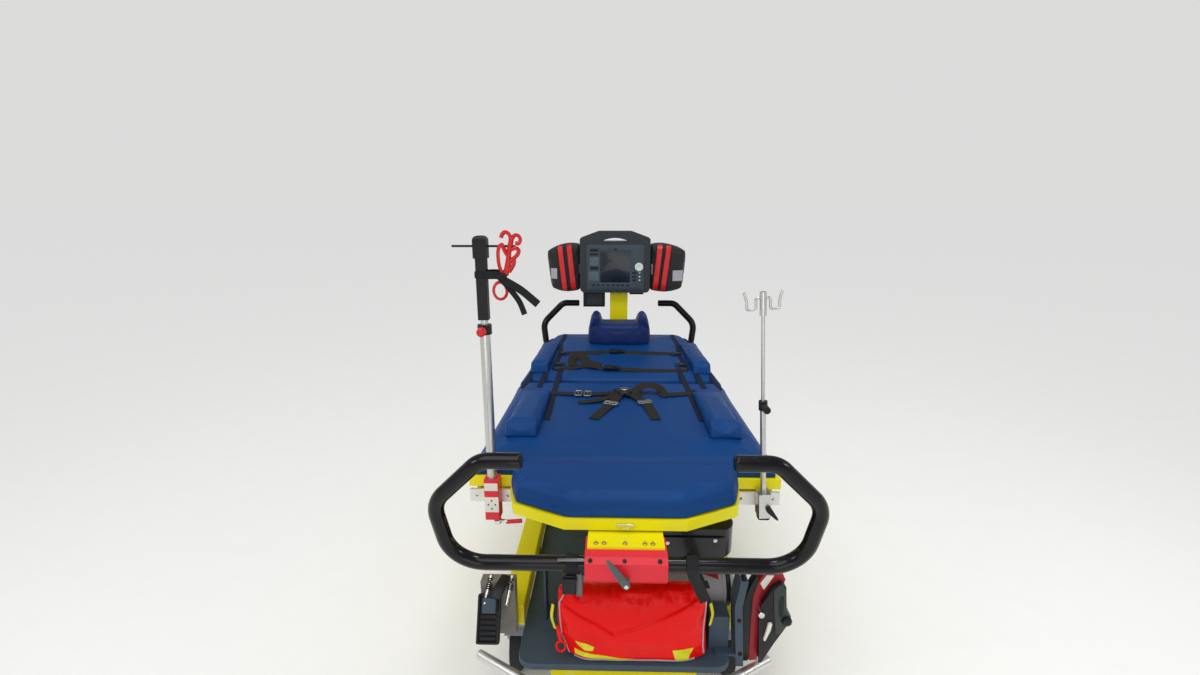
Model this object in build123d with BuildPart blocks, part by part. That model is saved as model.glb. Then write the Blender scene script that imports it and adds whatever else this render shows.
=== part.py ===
from build123d import *
import os
from math import cos, radians, sin

# Heavy-duty intensive care stretcher trolley, in millimetres.
# X is the trolley's right, Y runs from the foot end to the head end, Z is up.
# The origin is on the floor, below the middle of the trolley.

# Casters
WHEEL_DIAMETER = 200
TYRE_WIDTH = 36
TYRE_DEPTH = 18
TYRE_CROWN = 7
SWIVEL_Y = 700
TRAIL = 38
AXLE_DIAMETER = 12
AXLE_FIT = 0.05
AXLE_HEAD_RADIUS = 10
AXLE_HEAD_HEIGHT = 7
HUB_RADIUS = 21
HUB_FLARE = 6
HUB_SIDE_GAP = 0.6
RIM_DEPTH = 15
RIM_SIDE_INSET = 2
WEB_THICKNESS = 9
WEB_WINDOWS = 5
WEB_MARGIN = 6
SPOKE_WIDTH = 15
SPOKE_FILLET = 4
FORK_GAP = 6
FORK_LEG = 9
FORK_BOSS = 20
FORK_ROUND = 3
FORK_POCKET = 3
FORK_RIB = 6
BOSS_RIB = 4
HOOD_THICKNESS = 5
HOOD_SPREAD = 85
HOOD_TURN = 5
CROWN_RADIUS = 35
CROWN_PLATE = 5
RACE_RADIUS = 27
RACE_HEIGHT = 8
SWIVEL_GAP = 0.6
STEM_DIAMETER = 18
STEM_FIT = 0.05
STEM_LENGTH = 45

# Base frame
RAIL_BOTTOM = 232
RAIL_HEIGHT = 68
RAIL_WIDTH = 72
RAIL_INNER_X = 304
RAIL_HALF_LENGTH = 760
RAIL_ROUND = 6
SPINE_X = 110
SPINE_WIDTH = 44
SPINE_HEIGHT = 50
SPINE_REACH = 915
END_MEMBER_HALF = 205
END_MEMBER_DEPTH = 50
CROSS_BEAM_Y = 400
CROSS_BEAM_DEPTH = 60

# Platform
PLATFORM_HALF_WIDTH = 300
PLATFORM_REACH = 925
PLATFORM_THICKNESS = 18
PLATFORM_CORNER = 45
PLATFORM_ROUND = 3

# Bumper bars
BUMPER_DIAMETER = 28
BUMPER_Z = 197
BUMPER_GAP = 16
BUMPER_TIP_X = 430
BUMPER_SWEEP = 107
BUMPER_BEND_X = 250
BUMPER_BEND_RADIUS = 90
BUMPER_STAY_X = 150
BUMPER_STAY_WIDTH = 30
BUMPER_STAY_HEIGHT = 24
BUMPER_END_ROUND = 5

# Lifting columns, three stages
COLUMN_Y = 300
COLUMN_CORNER = 14
COLUMN_GAP = 1
OUTER_WIDTH = 170
OUTER_DEPTH = 130
OUTER_WALL = 6
OUTER_HEIGHT = 310
STAGE_WALL = 6
STAGE_LIFT = 12
STAGE_HEIGHT = 322
FLANGE_THICKNESS = 8
FLANGE_MARGIN = 20
GROOVE_WIDTH = 9
GROOVE_DEPTH = 2
GROOVE_PITCH = 38
WIPER_HEIGHT = 12
WIPER_MARGIN = 4

# Deck
BEAM_X = 76
BEAM_WIDTH = 40
BEAM_BOTTOM = 608
BEAM_HEIGHT = 40
ARM_WIDTH = 40
ARM_HEIGHT = 42
BACK_REST_GAP = 6
PANEL_HEIGHT = 30
PANEL_WALL = 3
PANEL_JOINT = 3
FOOT_END_Y = -948
FOOT_FRONT_X = 157
FOOT_CORNER_X = 300
FOOT_CORNER_Y = -878
FOOT_SIDE_X = 322
FOOT_SIDE_Y = -800
SEAT_END_Y = -732
SEAT_FRONT_X = 458
SEAT_SIDE_X = 460
SEAT_SIDE_Y = -650
HINGE_SIDE_X = 445
BACK_SIDE_X = 432
BACK_SIDE_Y = 700
BACK_CORNER_X = 392
BACK_CORNER_Y = 905
BACK_END_X = 350
BACK_END_Y = 958

# Back section hinge
HINGE_Y = 30
HINGE_ABOVE_PANEL = 15
HINGE_PIN_DIAMETER = 12
HINGE_PIN_FIT = 0.05
HINGE_EYE_RADIUS = 12
HINGE_LUG_X = 230
HINGE_LUG_WIDTH = 20
HINGE_EYE_GAP = 1
LUG_FOOT_DEPTH = 4
BACK_LUG_FOOT = 12
SEAT_LUG_FOOT = 20
LUG_FOOT_BELOW_TOP = 2
LUG_RELIEF = 6
FOLD_HALF_GAP = 18
FOLD_TOP_HALF_GAP = 32
FOLD_DEPTH = 18

# Mattress
PAD_THICKNESS = 55
FOOT_PAD_THICKNESS = 58
PAD_INSET = 3
PAD_SLOPE_WIDTH = 34
PAD_SLOPE_HEIGHT = 32
FOOT_PAD_BEVEL = 10

# Push handles
HANDLE_Y = 1000
HANDLE_Z = 630
HANDLE_DIAMETER = 38
HANDLE_LEAN = 10.3
HANDLE_FOOT_X = 432
HANDLE_WIDE_X = 458
HANDLE_WIDE_RISE = 185
HANDLE_GRIP_X = 337
HANDLE_END_X = 238
HANDLE_RISE = 308
HANDLE_LOW_BEND = 95
HANDLE_MID_BEND = 80
HANDLE_TOP_BEND = 55
HANDLE_END_ROUND = 8

# Clamp blocks on the push handles: outwards and up from the bar's middle
BLOCK_HALF_WIDTH = 100
BLOCK_INSIDE = 42
BLOCK_OUTSIDE = 46
BLOCK_BELOW = 35
BLOCK_ABOVE = 49
BLOCK_FLAT = 11
BLOCK_TOP_SLOPE = 5
BLOCK_TOP_BEVEL = 12
BLOCK_UNDER_BEVEL = 22
BLOCK_FIT = 0.08
PLATE_HALF_WIDTH = 95
PLATE_THICKNESS = 6
LEVER_DROP = 11
LEVER_LENGTH = 76
LEVER_TURN = 55
LEVER_HUB_RADIUS = 9
LEVER_WAIST = 8
LEVER_TIP_RADIUS = 3.5
LEVER_STANDOFF = 14
LEVER_THICKNESS = 9
LEVER_ROUND = 2

# Equipment rails
EQUIP_INNER_X = 200
EQUIP_OUTER_X = 454
EQUIP_BOTTOM = 645
EQUIP_HEIGHT = 40
EQUIP_THICKNESS = 8
EQUIP_HOLE = 9
EQUIP_HOLE_PITCH = 92
EQUIP_HOLES_X = 387
EQUIP_FRONT_Y = -742
SPACER_PITCH = 178
SPACER_WIDTH = 24
SPACER_HEIGHT = 26

# Infusion poles
LEFT_POLE_X = -380
RIGHT_POLE_X = 400
RIGHT_POLE_LEAN = 4
POLE_Y = -764

os.makedirs("parts", exist_ok=True)

wheel_radius = WHEEL_DIAMETER / 2
rail_x = RAIL_INNER_X + RAIL_WIDTH / 2
rail_top = RAIL_BOTTOM + RAIL_HEIGHT
spine_bottom = RAIL_BOTTOM - SPINE_HEIGHT
platform_top = RAIL_BOTTOM + PLATFORM_THICKNESS
beam_top = BEAM_BOTTOM + BEAM_HEIGHT
panel_bottom = beam_top + ARM_HEIGHT
panel_top = panel_bottom + PANEL_HEIGHT
pad_top = panel_top + PAD_THICKNESS
hinge_z = panel_top + HINGE_ABOVE_PANEL
block_back = HANDLE_Y - BLOCK_INSIDE
block_top = HANDLE_Z + BLOCK_ABOVE
plate_top = block_top + PLATE_THICKNESS
plate_end = HANDLE_Y + BLOCK_FLAT
equip_middle_z = EQUIP_BOTTOM + EQUIP_HEIGHT / 2
bumper_out = SPINE_REACH + BUMPER_GAP + BUMPER_DIAMETER / 2
bumper_tip_y = bumper_out - BUMPER_SWEEP

# Columns: name, side (-1 left, 1 right), end (-1 foot, 1 head)
CORNERS = [
    ("foot_left", -1, -1),
    ("foot_right", 1, -1),
    ("head_left", -1, 1),
    ("head_right", 1, 1),
]
# Columns: name, end (-1 foot, 1 head)
ENDS = [("foot", -1), ("head", 1)]


def side_plane(x, y=0, z=0):
    """A plane seen from the trolley's right: its x runs along Y, its y runs up."""
    return Plane(origin=(x, y, z), x_dir=(0, 1, 0), z_dir=(1, 0, 0))


def front_plane(y, x=0, z=0):
    """A plane seen from the foot end: its x runs along X, its y runs up."""
    return Plane(origin=(x, y, z), x_dir=(1, 0, 0), z_dir=(0, -1, 0))


def pole_plane(x, y, lean, up_pole):
    """A plane across a leaning pole, `up_pole` above the rails' middle line."""
    up = Vector(-sin(radians(lean)), 0, cos(radians(lean)))
    foot = Vector(x, y, equip_middle_z)
    return Plane(origin=foot + up * up_pole, x_dir=(up.Z, 0, -up.X), z_dir=up)


def mirrored_outline(right_half):
    """The closed outline of points on the right, mirrored to the left."""
    return right_half + [(-x, y) for x, y in reversed(right_half)]


# Base frame: two side rails over the casters, twin spines below the platform
with BuildPart() as base_frame:
    with BuildSketch(Plane.XY.offset(RAIL_BOTTOM)):
        with Locations((-rail_x, 0), (rail_x, 0)):
            Rectangle(RAIL_WIDTH, 2 * RAIL_HALF_LENGTH)
    extrude(amount=RAIL_HEIGHT)
    top_edges = base_frame.faces().group_by(Axis.Z)[-1].edges()
    fillet(top_edges, RAIL_ROUND)
    with BuildSketch(Plane.XY.offset(spine_bottom)):
        with Locations((-SPINE_X, 0), (SPINE_X, 0)):
            Rectangle(SPINE_WIDTH, 2 * SPINE_REACH)
        with Locations((0, -CROSS_BEAM_Y), (0, CROSS_BEAM_Y)):
            Rectangle(2 * rail_x + RAIL_WIDTH, CROSS_BEAM_DEPTH)
        end_member_y = SPINE_REACH - END_MEMBER_DEPTH / 2
        with Locations((0, -end_member_y), (0, end_member_y)):
            Rectangle(2 * END_MEMBER_HALF, END_MEMBER_DEPTH)
    extrude(amount=SPINE_HEIGHT)
    with BuildSketch(Plane.XY.offset(RAIL_BOTTOM)):
        with GridLocations(2 * rail_x, 2 * SWIVEL_Y, 2, 2):
            Circle(STEM_DIAMETER / 2 + STEM_FIT)
    extrude(amount=STEM_LENGTH, mode=Mode.SUBTRACT)
base_frame.part.label = "base_frame"
export_step(base_frame.part, "parts/base_frame.step")

# Platform for the equipment
with BuildPart() as platform:
    with BuildSketch(Plane.XY.offset(RAIL_BOTTOM)):
        RectangleRounded(2 * PLATFORM_HALF_WIDTH, 2 * PLATFORM_REACH, PLATFORM_CORNER)
    extrude(amount=PLATFORM_THICKNESS)
    fillet(platform.faces().sort_by(Axis.Z)[-1].edges(), PLATFORM_ROUND)
platform.part.label = "platform"
export_step(platform.part, "parts/platform.step")

# Bumper bars with their stays, one at each end
with BuildPart() as bumpers:
    for name, end in ENDS:
        with BuildLine(Plane.XY.offset(BUMPER_Z)) as bumper_path:
            FilletPolyline(
                (-BUMPER_TIP_X, end * bumper_tip_y),
                (-BUMPER_BEND_X, end * bumper_out),
                (BUMPER_BEND_X, end * bumper_out),
                (BUMPER_TIP_X, end * bumper_tip_y),
                radius=BUMPER_BEND_RADIUS,
            )
        bar_start = Plane(origin=bumper_path.line @ 0, z_dir=bumper_path.line % 0)
        with BuildSketch(bar_start):
            Circle(BUMPER_DIAMETER / 2)
        sweep(path=bumper_path.line)
    bar_ends = bumpers.faces().filter_by(GeomType.PLANE)
    fillet(bar_ends.edges(), BUMPER_END_ROUND)
    for name, end in ENDS:
        with BuildSketch(Plane.XY.offset(BUMPER_Z - BUMPER_STAY_HEIGHT / 2)):
            stay_length = bumper_out - SPINE_REACH
            stay_y = end * (SPINE_REACH + stay_length / 2)
            with Locations((-BUMPER_STAY_X, stay_y), (BUMPER_STAY_X, stay_y)):
                Rectangle(BUMPER_STAY_WIDTH, stay_length)
        extrude(amount=BUMPER_STAY_HEIGHT)
bumpers.part.label = "bumpers"
export_step(bumpers.part, "parts/bumpers.step")

# Lifting columns: grooved outer tubes on the platform, middle stage, inner tubes
stage_width = OUTER_WIDTH - 2 * (OUTER_WALL + COLUMN_GAP)
stage_depth = OUTER_DEPTH - 2 * (OUTER_WALL + COLUMN_GAP)
inner_width = stage_width - 2 * (STAGE_WALL + COLUMN_GAP)
inner_depth = stage_depth - 2 * (STAGE_WALL + COLUMN_GAP)
stage_corner = COLUMN_CORNER - OUTER_WALL
inner_corner = stage_corner - COLUMN_GAP
stage_bottom = platform_top + STAGE_LIFT
inner_bottom = platform_top + 2 * STAGE_LIFT
flange_bottom = BEAM_BOTTOM - FLANGE_THICKNESS
column_spots = [(0, -COLUMN_Y), (0, COLUMN_Y)]


def groove_spots(width, depth):
    """Middles of the grooves around both columns, on their outer faces."""
    return [
        (side * groove_x, end * COLUMN_Y + side * groove_y)
        for end in (-1, 1)
        for side in (-1, 1)
        for groove_x, groove_y in (
            (-GROOVE_PITCH, depth / 2),
            (0, depth / 2),
            (GROOVE_PITCH, depth / 2),
            (width / 2, -GROOVE_PITCH / 2),
            (width / 2, GROOVE_PITCH / 2),
        )
    ]


# Columns: name, width, depth, corner, bottom, height, wall
TUBE_STAGES = [
    ("column_outer", OUTER_WIDTH, OUTER_DEPTH, COLUMN_CORNER, platform_top, OUTER_HEIGHT, OUTER_WALL),
    ("column_middle", stage_width, stage_depth, stage_corner, stage_bottom, STAGE_HEIGHT, STAGE_WALL),
]
for name, width, depth, corner, bottom, height, wall in TUBE_STAGES:
    hollow_width = width - 2 * wall
    hollow_depth = depth - 2 * wall
    hollow_corner = min(corner, stage_corner) - COLUMN_GAP
    with BuildPart() as column_tube:
        with BuildSketch(Plane.XY.offset(bottom)):
            with Locations(*column_spots):
                RectangleRounded(width, depth, corner)
            with Locations(*groove_spots(width, depth)):
                Rectangle(GROOVE_WIDTH, 2 * GROOVE_DEPTH, mode=Mode.SUBTRACT)
        extrude(amount=height)
        with BuildSketch(Plane.XY.offset(bottom + height - WIPER_HEIGHT)):
            with Locations(*column_spots):
                RectangleRounded(width + 2 * WIPER_MARGIN, depth + 2 * WIPER_MARGIN, corner)
        extrude(amount=WIPER_HEIGHT)
        with BuildSketch(Plane.XY.offset(bottom)):
            with Locations(*column_spots):
                RectangleRounded(hollow_width, hollow_depth, hollow_corner)
        extrude(amount=height, mode=Mode.SUBTRACT)
    column_tube.part.label = name
    export_step(column_tube.part, f"parts/{name}.step")

with BuildPart() as column_inner:
    with BuildSketch(Plane.XY.offset(inner_bottom)):
        with Locations(*column_spots):
            RectangleRounded(inner_width, inner_depth, inner_corner)
        with Locations(*groove_spots(inner_width, inner_depth)):
            Rectangle(GROOVE_WIDTH, 2 * GROOVE_DEPTH, mode=Mode.SUBTRACT)
    extrude(amount=flange_bottom - inner_bottom)
    with BuildSketch(Plane.XY.offset(flange_bottom)):
        with Locations(*column_spots):
            flange_width = 2 * BEAM_X + BEAM_WIDTH
            flange_depth = inner_depth + 2 * FLANGE_MARGIN
            RectangleRounded(flange_width, flange_depth, COLUMN_CORNER)
    extrude(amount=FLANGE_THICKNESS)
column_inner.part.label = "column_inner"
export_step(column_inner.part, "parts/column_inner.step")

# Casters: a hooded swivelling fork with its axle, a rim and a tyre at each corner
fork_inside = TYRE_WIDTH / 2 + FORK_GAP
fork_outside = fork_inside + FORK_LEG
wheel_space = wheel_radius + FORK_GAP
crown_top = RAIL_BOTTOM - SWIVEL_GAP
yoke_top = crown_top - CROWN_PLATE - RACE_HEIGHT
rim_radius = wheel_radius - TYRE_DEPTH
web_inner = HUB_RADIUS + HUB_FLARE
web_outer = rim_radius - RIM_DEPTH
hub_half = fork_inside - HUB_SIDE_GAP
axle_point = Vector(TRAIL, wheel_radius)
hood_angles = [radians(90 + HOOD_TURN + turn * HOOD_SPREAD / 2) for turn in (-1, 1)]
hood_ends = [axle_point + Vector(cos(a), sin(a)) * WHEEL_DIAMETER for a in hood_angles]
for name, side, end in CORNERS:
    swivel_x = side * rail_x
    swivel_y = end * SWIVEL_Y
    axle_y = swivel_y + TRAIL
    with BuildPart() as caster_fork:
        # Yoke: its two legs are left when the wheel's space is cut out
        with BuildSketch(side_plane(swivel_x - fork_outside, swivel_y)):
            with Locations((TRAIL, wheel_radius)):
                Circle(FORK_BOSS)
            with Locations((0, yoke_top - RACE_HEIGHT / 2)):
                Rectangle(2 * CROWN_RADIUS, RACE_HEIGHT)
            make_hull()
        extrude(amount=2 * fork_outside)
        leg_faces = caster_fork.faces().filter_by(Axis.X)
        fillet(leg_faces.edges(), FORK_ROUND)
        # Hood over the tyre's top
        with BuildSketch(side_plane(swivel_x - fork_outside, swivel_y)):
            with Locations((TRAIL, wheel_radius)):
                Circle(wheel_space + HOOD_THICKNESS)
                Circle(wheel_space, mode=Mode.SUBTRACT)
            with BuildLine():
                Polyline(axle_point, *hood_ends, close=True)
            make_face(mode=Mode.INTERSECT)
        extrude(amount=2 * fork_outside)
        with BuildSketch(side_plane(swivel_x - fork_inside, swivel_y)):
            with Locations((TRAIL, wheel_radius)):
                Circle(wheel_space)
        extrude(amount=2 * fork_inside, mode=Mode.SUBTRACT)
        # Ribbed pockets in the legs' outer faces
        for pocket_start in (-fork_outside, fork_outside - FORK_POCKET):
            with BuildSketch(side_plane(swivel_x + pocket_start, swivel_y)):
                with Locations((TRAIL, wheel_radius)):
                    Circle(FORK_BOSS - FORK_RIB)
                with Locations((0, yoke_top - RACE_HEIGHT - FORK_RIB)):
                    Rectangle(2 * (CROWN_RADIUS - FORK_RIB), RACE_HEIGHT)
                make_hull()
                with Locations((TRAIL, wheel_radius)):
                    Circle(AXLE_HEAD_RADIUS + BOSS_RIB, mode=Mode.SUBTRACT)
            extrude(amount=FORK_POCKET, mode=Mode.SUBTRACT)
        # Swivel bearing: race, plate and stem
        # Columns: radius, bottom, height
        swivel_rounds = [
            (RACE_RADIUS, yoke_top, RACE_HEIGHT),
            (CROWN_RADIUS, crown_top - CROWN_PLATE, CROWN_PLATE),
            (STEM_DIAMETER / 2, crown_top, STEM_LENGTH),
        ]
        for radius, bottom, height in swivel_rounds:
            with BuildSketch(Plane((swivel_x, swivel_y, bottom))):
                Circle(radius)
            extrude(amount=height)
        # Axle with its hexagon head and nut
        with BuildSketch(side_plane(swivel_x - fork_outside, swivel_y)):
            with Locations((TRAIL, wheel_radius)):
                Circle(AXLE_DIAMETER / 2)
        extrude(amount=2 * fork_outside)
        for head_start in (-fork_outside - AXLE_HEAD_HEIGHT, fork_outside - FORK_POCKET):
            with BuildSketch(side_plane(swivel_x + head_start, swivel_y)):
                with Locations((TRAIL, wheel_radius)):
                    RegularPolygon(AXLE_HEAD_RADIUS, 6)
            extrude(amount=AXLE_HEAD_HEIGHT + FORK_POCKET)
    caster_fork.part.label = f"fork_{name}"
    export_step(caster_fork.part, f"parts/fork_{name}.step")

    axle = Axis((swivel_x, axle_y, wheel_radius), (1, 0, 0))
    with BuildPart() as rim:
        with BuildSketch(front_plane(axle_y, swivel_x, wheel_radius)):
            with BuildLine():
                half = [
                    (hub_half, AXLE_DIAMETER / 2 + AXLE_FIT),
                    (hub_half, HUB_RADIUS),
                    (WEB_THICKNESS / 2, web_inner),
                    (WEB_THICKNESS / 2, web_outer),
                    (TYRE_WIDTH / 2 - RIM_SIDE_INSET, rim_radius - WEB_MARGIN),
                    (TYRE_WIDTH / 2 - RIM_SIDE_INSET, rim_radius),
                ]
                Polyline(*half, *[(-x, r) for x, r in reversed(half)], close=True)
            make_face()
        revolve(axis=axle)
        # Windows between the spokes
        with BuildSketch(side_plane(swivel_x - WEB_THICKNESS / 2, axle_y, wheel_radius)):
            Circle(web_outer - WEB_MARGIN / 2)
            Circle(web_inner + WEB_MARGIN / 2, mode=Mode.SUBTRACT)
            with PolarLocations((web_inner + web_outer) / 2, WEB_WINDOWS, start_angle=90):
                Rectangle(web_outer - web_inner, SPOKE_WIDTH, mode=Mode.SUBTRACT)
            fillet(vertices(), SPOKE_FILLET)
        extrude(amount=WEB_THICKNESS, mode=Mode.SUBTRACT)
    rim.part.label = f"rim_{name}"
    export_step(rim.part, f"parts/rim_{name}.step")

    with BuildPart() as tyre:
        with BuildSketch(front_plane(axle_y, swivel_x, wheel_radius)):
            with BuildLine():
                shoulder = (TYRE_WIDTH / 2, wheel_radius - TYRE_CROWN)
                far_shoulder = (-TYRE_WIDTH / 2, wheel_radius - TYRE_CROWN)
                Polyline(
                    far_shoulder,
                    (-TYRE_WIDTH / 2, rim_radius),
                    (TYRE_WIDTH / 2, rim_radius),
                    shoulder,
                )
                ThreePointArc(shoulder, (0, wheel_radius), far_shoulder)
            make_face()
        revolve(axis=axle)
    tyre.part.label = f"tyre_{name}"
    export_step(tyre.part, f"parts/tyre_{name}.step")

# Deck frame: two long beams on the columns and cross arms below the panels
with BuildPart() as deck_beams:
    with BuildSketch(Plane.XY.offset(BEAM_BOTTOM)):
        with Locations((-BEAM_X, 0), (BEAM_X, 0)):
            Rectangle(BEAM_WIDTH, 2 * block_back)
    extrude(amount=BEAM_HEIGHT)
deck_beams.part.label = "deck_beams"
export_step(deck_beams.part, "parts/deck_beams.step")

# Columns: y of the arm, half its length, whether it is below the back section
ARMS = [
    (-860, 150, False),
    (-690, 440, False),
    (-330, 440, False),
    (-40, 430, False),
    (330, 420, True),
    (700, 410, True),
    (900, 360, True),
]
with BuildPart() as deck_arms:
    for arm_y, arm_half, below_back in ARMS:
        with BuildSketch(Plane.XY.offset(beam_top)):
            with Locations((0, arm_y)):
                Rectangle(2 * arm_half, ARM_WIDTH)
        extrude(amount=ARM_HEIGHT - (BACK_REST_GAP if below_back else 0))
deck_arms.part.label = "deck_arms"
export_step(deck_arms.part, "parts/deck_arms.step")

# Deck panels: folded sheets, their edges turned down
foot_half = [
    (FOOT_FRONT_X, FOOT_END_Y),
    (FOOT_CORNER_X, FOOT_CORNER_Y),
    (FOOT_SIDE_X, FOOT_SIDE_Y),
    (FOOT_SIDE_X, SEAT_END_Y - PANEL_JOINT),
]
seat_half = [
    (SEAT_FRONT_X, SEAT_END_Y),
    (SEAT_SIDE_X, SEAT_SIDE_Y),
    (HINGE_SIDE_X, HINGE_Y - FOLD_HALF_GAP),
]
back_half = [
    (HINGE_SIDE_X, HINGE_Y + FOLD_HALF_GAP),
    (BACK_SIDE_X, BACK_SIDE_Y),
    (BACK_CORNER_X, BACK_CORNER_Y),
    (BACK_END_X, BACK_END_Y),
]
# Columns: name, right half of the outline
PANELS = [("foot_panel", foot_half), ("seat_panel", seat_half), ("back_panel", back_half)]
for name, right_half in PANELS:
    with BuildPart() as panel:
        with BuildSketch(Plane.XY.offset(panel_bottom)):
            with BuildLine():
                Polyline(*mirrored_outline(right_half), close=True)
            make_face()
        extrude(amount=PANEL_HEIGHT)
        with BuildSketch(Plane.XY.offset(panel_bottom)):
            with BuildLine():
                Polyline(*mirrored_outline(right_half), close=True)
            make_face()
            offset(amount=-PANEL_WALL, kind=Kind.INTERSECTION, mode=Mode.REPLACE)
        extrude(amount=PANEL_HEIGHT - PANEL_WALL, mode=Mode.SUBTRACT)
        if name == "back_panel":
            for lug_x in (-HINGE_LUG_X, HINGE_LUG_X):
                with BuildSketch(side_plane(lug_x - HINGE_LUG_WIDTH / 2)):
                    with Locations((HINGE_Y, hinge_z)):
                        Circle(HINGE_EYE_RADIUS)
                    lug_foot_y = HINGE_Y + FOLD_HALF_GAP + LUG_FOOT_DEPTH / 2
                    lug_foot_top = panel_top - LUG_FOOT_BELOW_TOP
                    with Locations((lug_foot_y, lug_foot_top - BACK_LUG_FOOT / 2)):
                        Rectangle(LUG_FOOT_DEPTH, BACK_LUG_FOOT)
                    make_hull()
                extrude(amount=HINGE_LUG_WIDTH)
                with BuildSketch(side_plane(lug_x - HINGE_LUG_WIDTH / 2)):
                    with Locations((HINGE_Y, hinge_z)):
                        Circle(HINGE_PIN_DIAMETER / 2 + HINGE_PIN_FIT)
                extrude(amount=HINGE_LUG_WIDTH, mode=Mode.SUBTRACT)
    panel.part.label = name
    export_step(panel.part, f"parts/{name}.step")

# Back hinge: lugs on the seat panel's edge with the hinge pins
with BuildPart() as back_hinge:
    for lug_x in (-HINGE_LUG_X, HINGE_LUG_X):
        for lug_side in (-1, 1):
            lug_mid = lug_x + lug_side * (HINGE_LUG_WIDTH + HINGE_EYE_GAP)
            with BuildSketch(side_plane(lug_mid - HINGE_LUG_WIDTH / 2)):
                with Locations((HINGE_Y, hinge_z)):
                    Circle(HINGE_EYE_RADIUS)
                lug_foot_y = HINGE_Y - FOLD_HALF_GAP + LUG_FOOT_DEPTH / 2
                lug_foot_top = panel_top - LUG_FOOT_BELOW_TOP
                with Locations((lug_foot_y, lug_foot_top - SEAT_LUG_FOOT / 2)):
                    Rectangle(LUG_FOOT_DEPTH, SEAT_LUG_FOOT)
                make_hull()
            extrude(amount=HINGE_LUG_WIDTH)
        pin_length = 3 * HINGE_LUG_WIDTH + 2 * HINGE_EYE_GAP
        with BuildSketch(side_plane(lug_x - pin_length / 2)):
            with Locations((HINGE_Y, hinge_z)):
                Circle(HINGE_PIN_DIAMETER / 2)
        extrude(amount=pin_length)
back_hinge.part.label = "back_hinge"
export_step(back_hinge.part, "parts/back_hinge.step")

# Mattress sections: sloped margins, and a fold groove over the hinge
inset_foot = [
    (FOOT_FRONT_X - PAD_INSET, FOOT_END_Y + PAD_INSET),
    (FOOT_CORNER_X - PAD_INSET, FOOT_CORNER_Y + PAD_INSET),
    (FOOT_SIDE_X - PAD_INSET, FOOT_SIDE_Y),
    (FOOT_SIDE_X - PAD_INSET, SEAT_END_Y - PANEL_JOINT - PAD_INSET),
]
with BuildPart() as mattress_foot:
    with BuildSketch(Plane.XY.offset(panel_top)):
        with BuildLine():
            Polyline(*mirrored_outline(inset_foot), close=True)
        make_face()
    extrude(amount=FOOT_PAD_THICKNESS)
    chamfer(mattress_foot.faces().sort_by(Axis.Z)[-1].edges(), FOOT_PAD_BEVEL)
mattress_foot.part.label = "mattress_foot"
export_step(mattress_foot.part, "parts/mattress_foot.step")

inset_seat = [
    (SEAT_FRONT_X - PAD_INSET, SEAT_END_Y + PAD_INSET),
    (SEAT_SIDE_X - PAD_INSET, SEAT_SIDE_Y),
    (HINGE_SIDE_X - PAD_INSET, HINGE_Y - FOLD_HALF_GAP),
]
inset_back = [
    (HINGE_SIDE_X - PAD_INSET, HINGE_Y + FOLD_HALF_GAP),
    (BACK_SIDE_X - PAD_INSET, BACK_SIDE_Y),
    (BACK_CORNER_X - PAD_INSET, BACK_CORNER_Y - PAD_INSET),
    (BACK_END_X - PAD_INSET, BACK_END_Y - PAD_INSET),
]
# Columns: name, right half of the outline, which way the fold lies along Y
WIDE_PADS = [("mattress_seat", inset_seat, 1), ("mattress_back", inset_back, -1)]
for name, right_half, fold in WIDE_PADS:
    with BuildPart() as pad:
        with BuildSketch(Plane.XY.offset(panel_top)):
            with BuildLine():
                Polyline(*mirrored_outline(right_half), close=True)
            make_face()
        extrude(amount=PAD_THICKNESS)
        crown_edges = pad.faces().sort_by(Axis.Z)[-1].edges().sort_by(Axis.Y)
        fold_edge = crown_edges[-1] if fold > 0 else crown_edges[0]
        outer_edges = [edge for edge in crown_edges if edge is not fold_edge]
        top_face = pad.faces().sort_by(Axis.Z)[-1]
        chamfer(outer_edges, PAD_SLOPE_WIDTH, PAD_SLOPE_HEIGHT, reference=top_face)
        with BuildSketch(side_plane(-SEAT_SIDE_X)):
            with BuildLine():
                fold_face = HINGE_Y - fold * FOLD_HALF_GAP
                fold_top = HINGE_Y - fold * FOLD_TOP_HALF_GAP
                Polyline(
                    (fold_face, pad_top - FOLD_DEPTH),
                    (fold_top, pad_top),
                    (fold_face, pad_top),
                    close=True,
                )
            make_face()
        extrude(amount=2 * SEAT_SIDE_X, mode=Mode.SUBTRACT)
        if fold < 0:
            with BuildSketch(Plane.XY.offset(panel_top)):
                with Locations((-HINGE_LUG_X, HINGE_Y), (HINGE_LUG_X, HINGE_Y)):
                    Rectangle(4 * HINGE_LUG_WIDTH, 2 * (FOLD_HALF_GAP + LUG_RELIEF))
            extrude(amount=2 * HINGE_EYE_RADIUS + LUG_RELIEF, mode=Mode.SUBTRACT)
    pad.part.label = name
    export_step(pad.part, f"parts/{name}.step")

# Raised side pads: x of the inner and outer face, then side profile from the foot end
HIP_X = (276, 380)
HIP_PROFILE = [(-585, 0), (-562, 46), (-205, 30), (-130, 4), (-130, 0)]
SHOULDER_X = (322, 402)
SHOULDER_PROFILE = [(108, 0), (130, 50), (560, 32), (660, 5), (660, 0)]
# Columns: name, inner and outer x, profile
SIDE_PADS = [("hip_pads", HIP_X, HIP_PROFILE), ("shoulder_pads", SHOULDER_X, SHOULDER_PROFILE)]
for name, (inner_x, outer_x), profile in SIDE_PADS:
    with BuildPart() as side_pad:
        for start_x in (-outer_x, inner_x):
            with BuildSketch(side_plane(start_x, 0, pad_top)):
                with BuildLine():
                    Polyline(*profile, close=True)
                make_face()
            extrude(amount=outer_x - inner_x)
    side_pad.part.label = name
    export_step(side_pad.part, f"parts/{name}.step")

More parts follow.
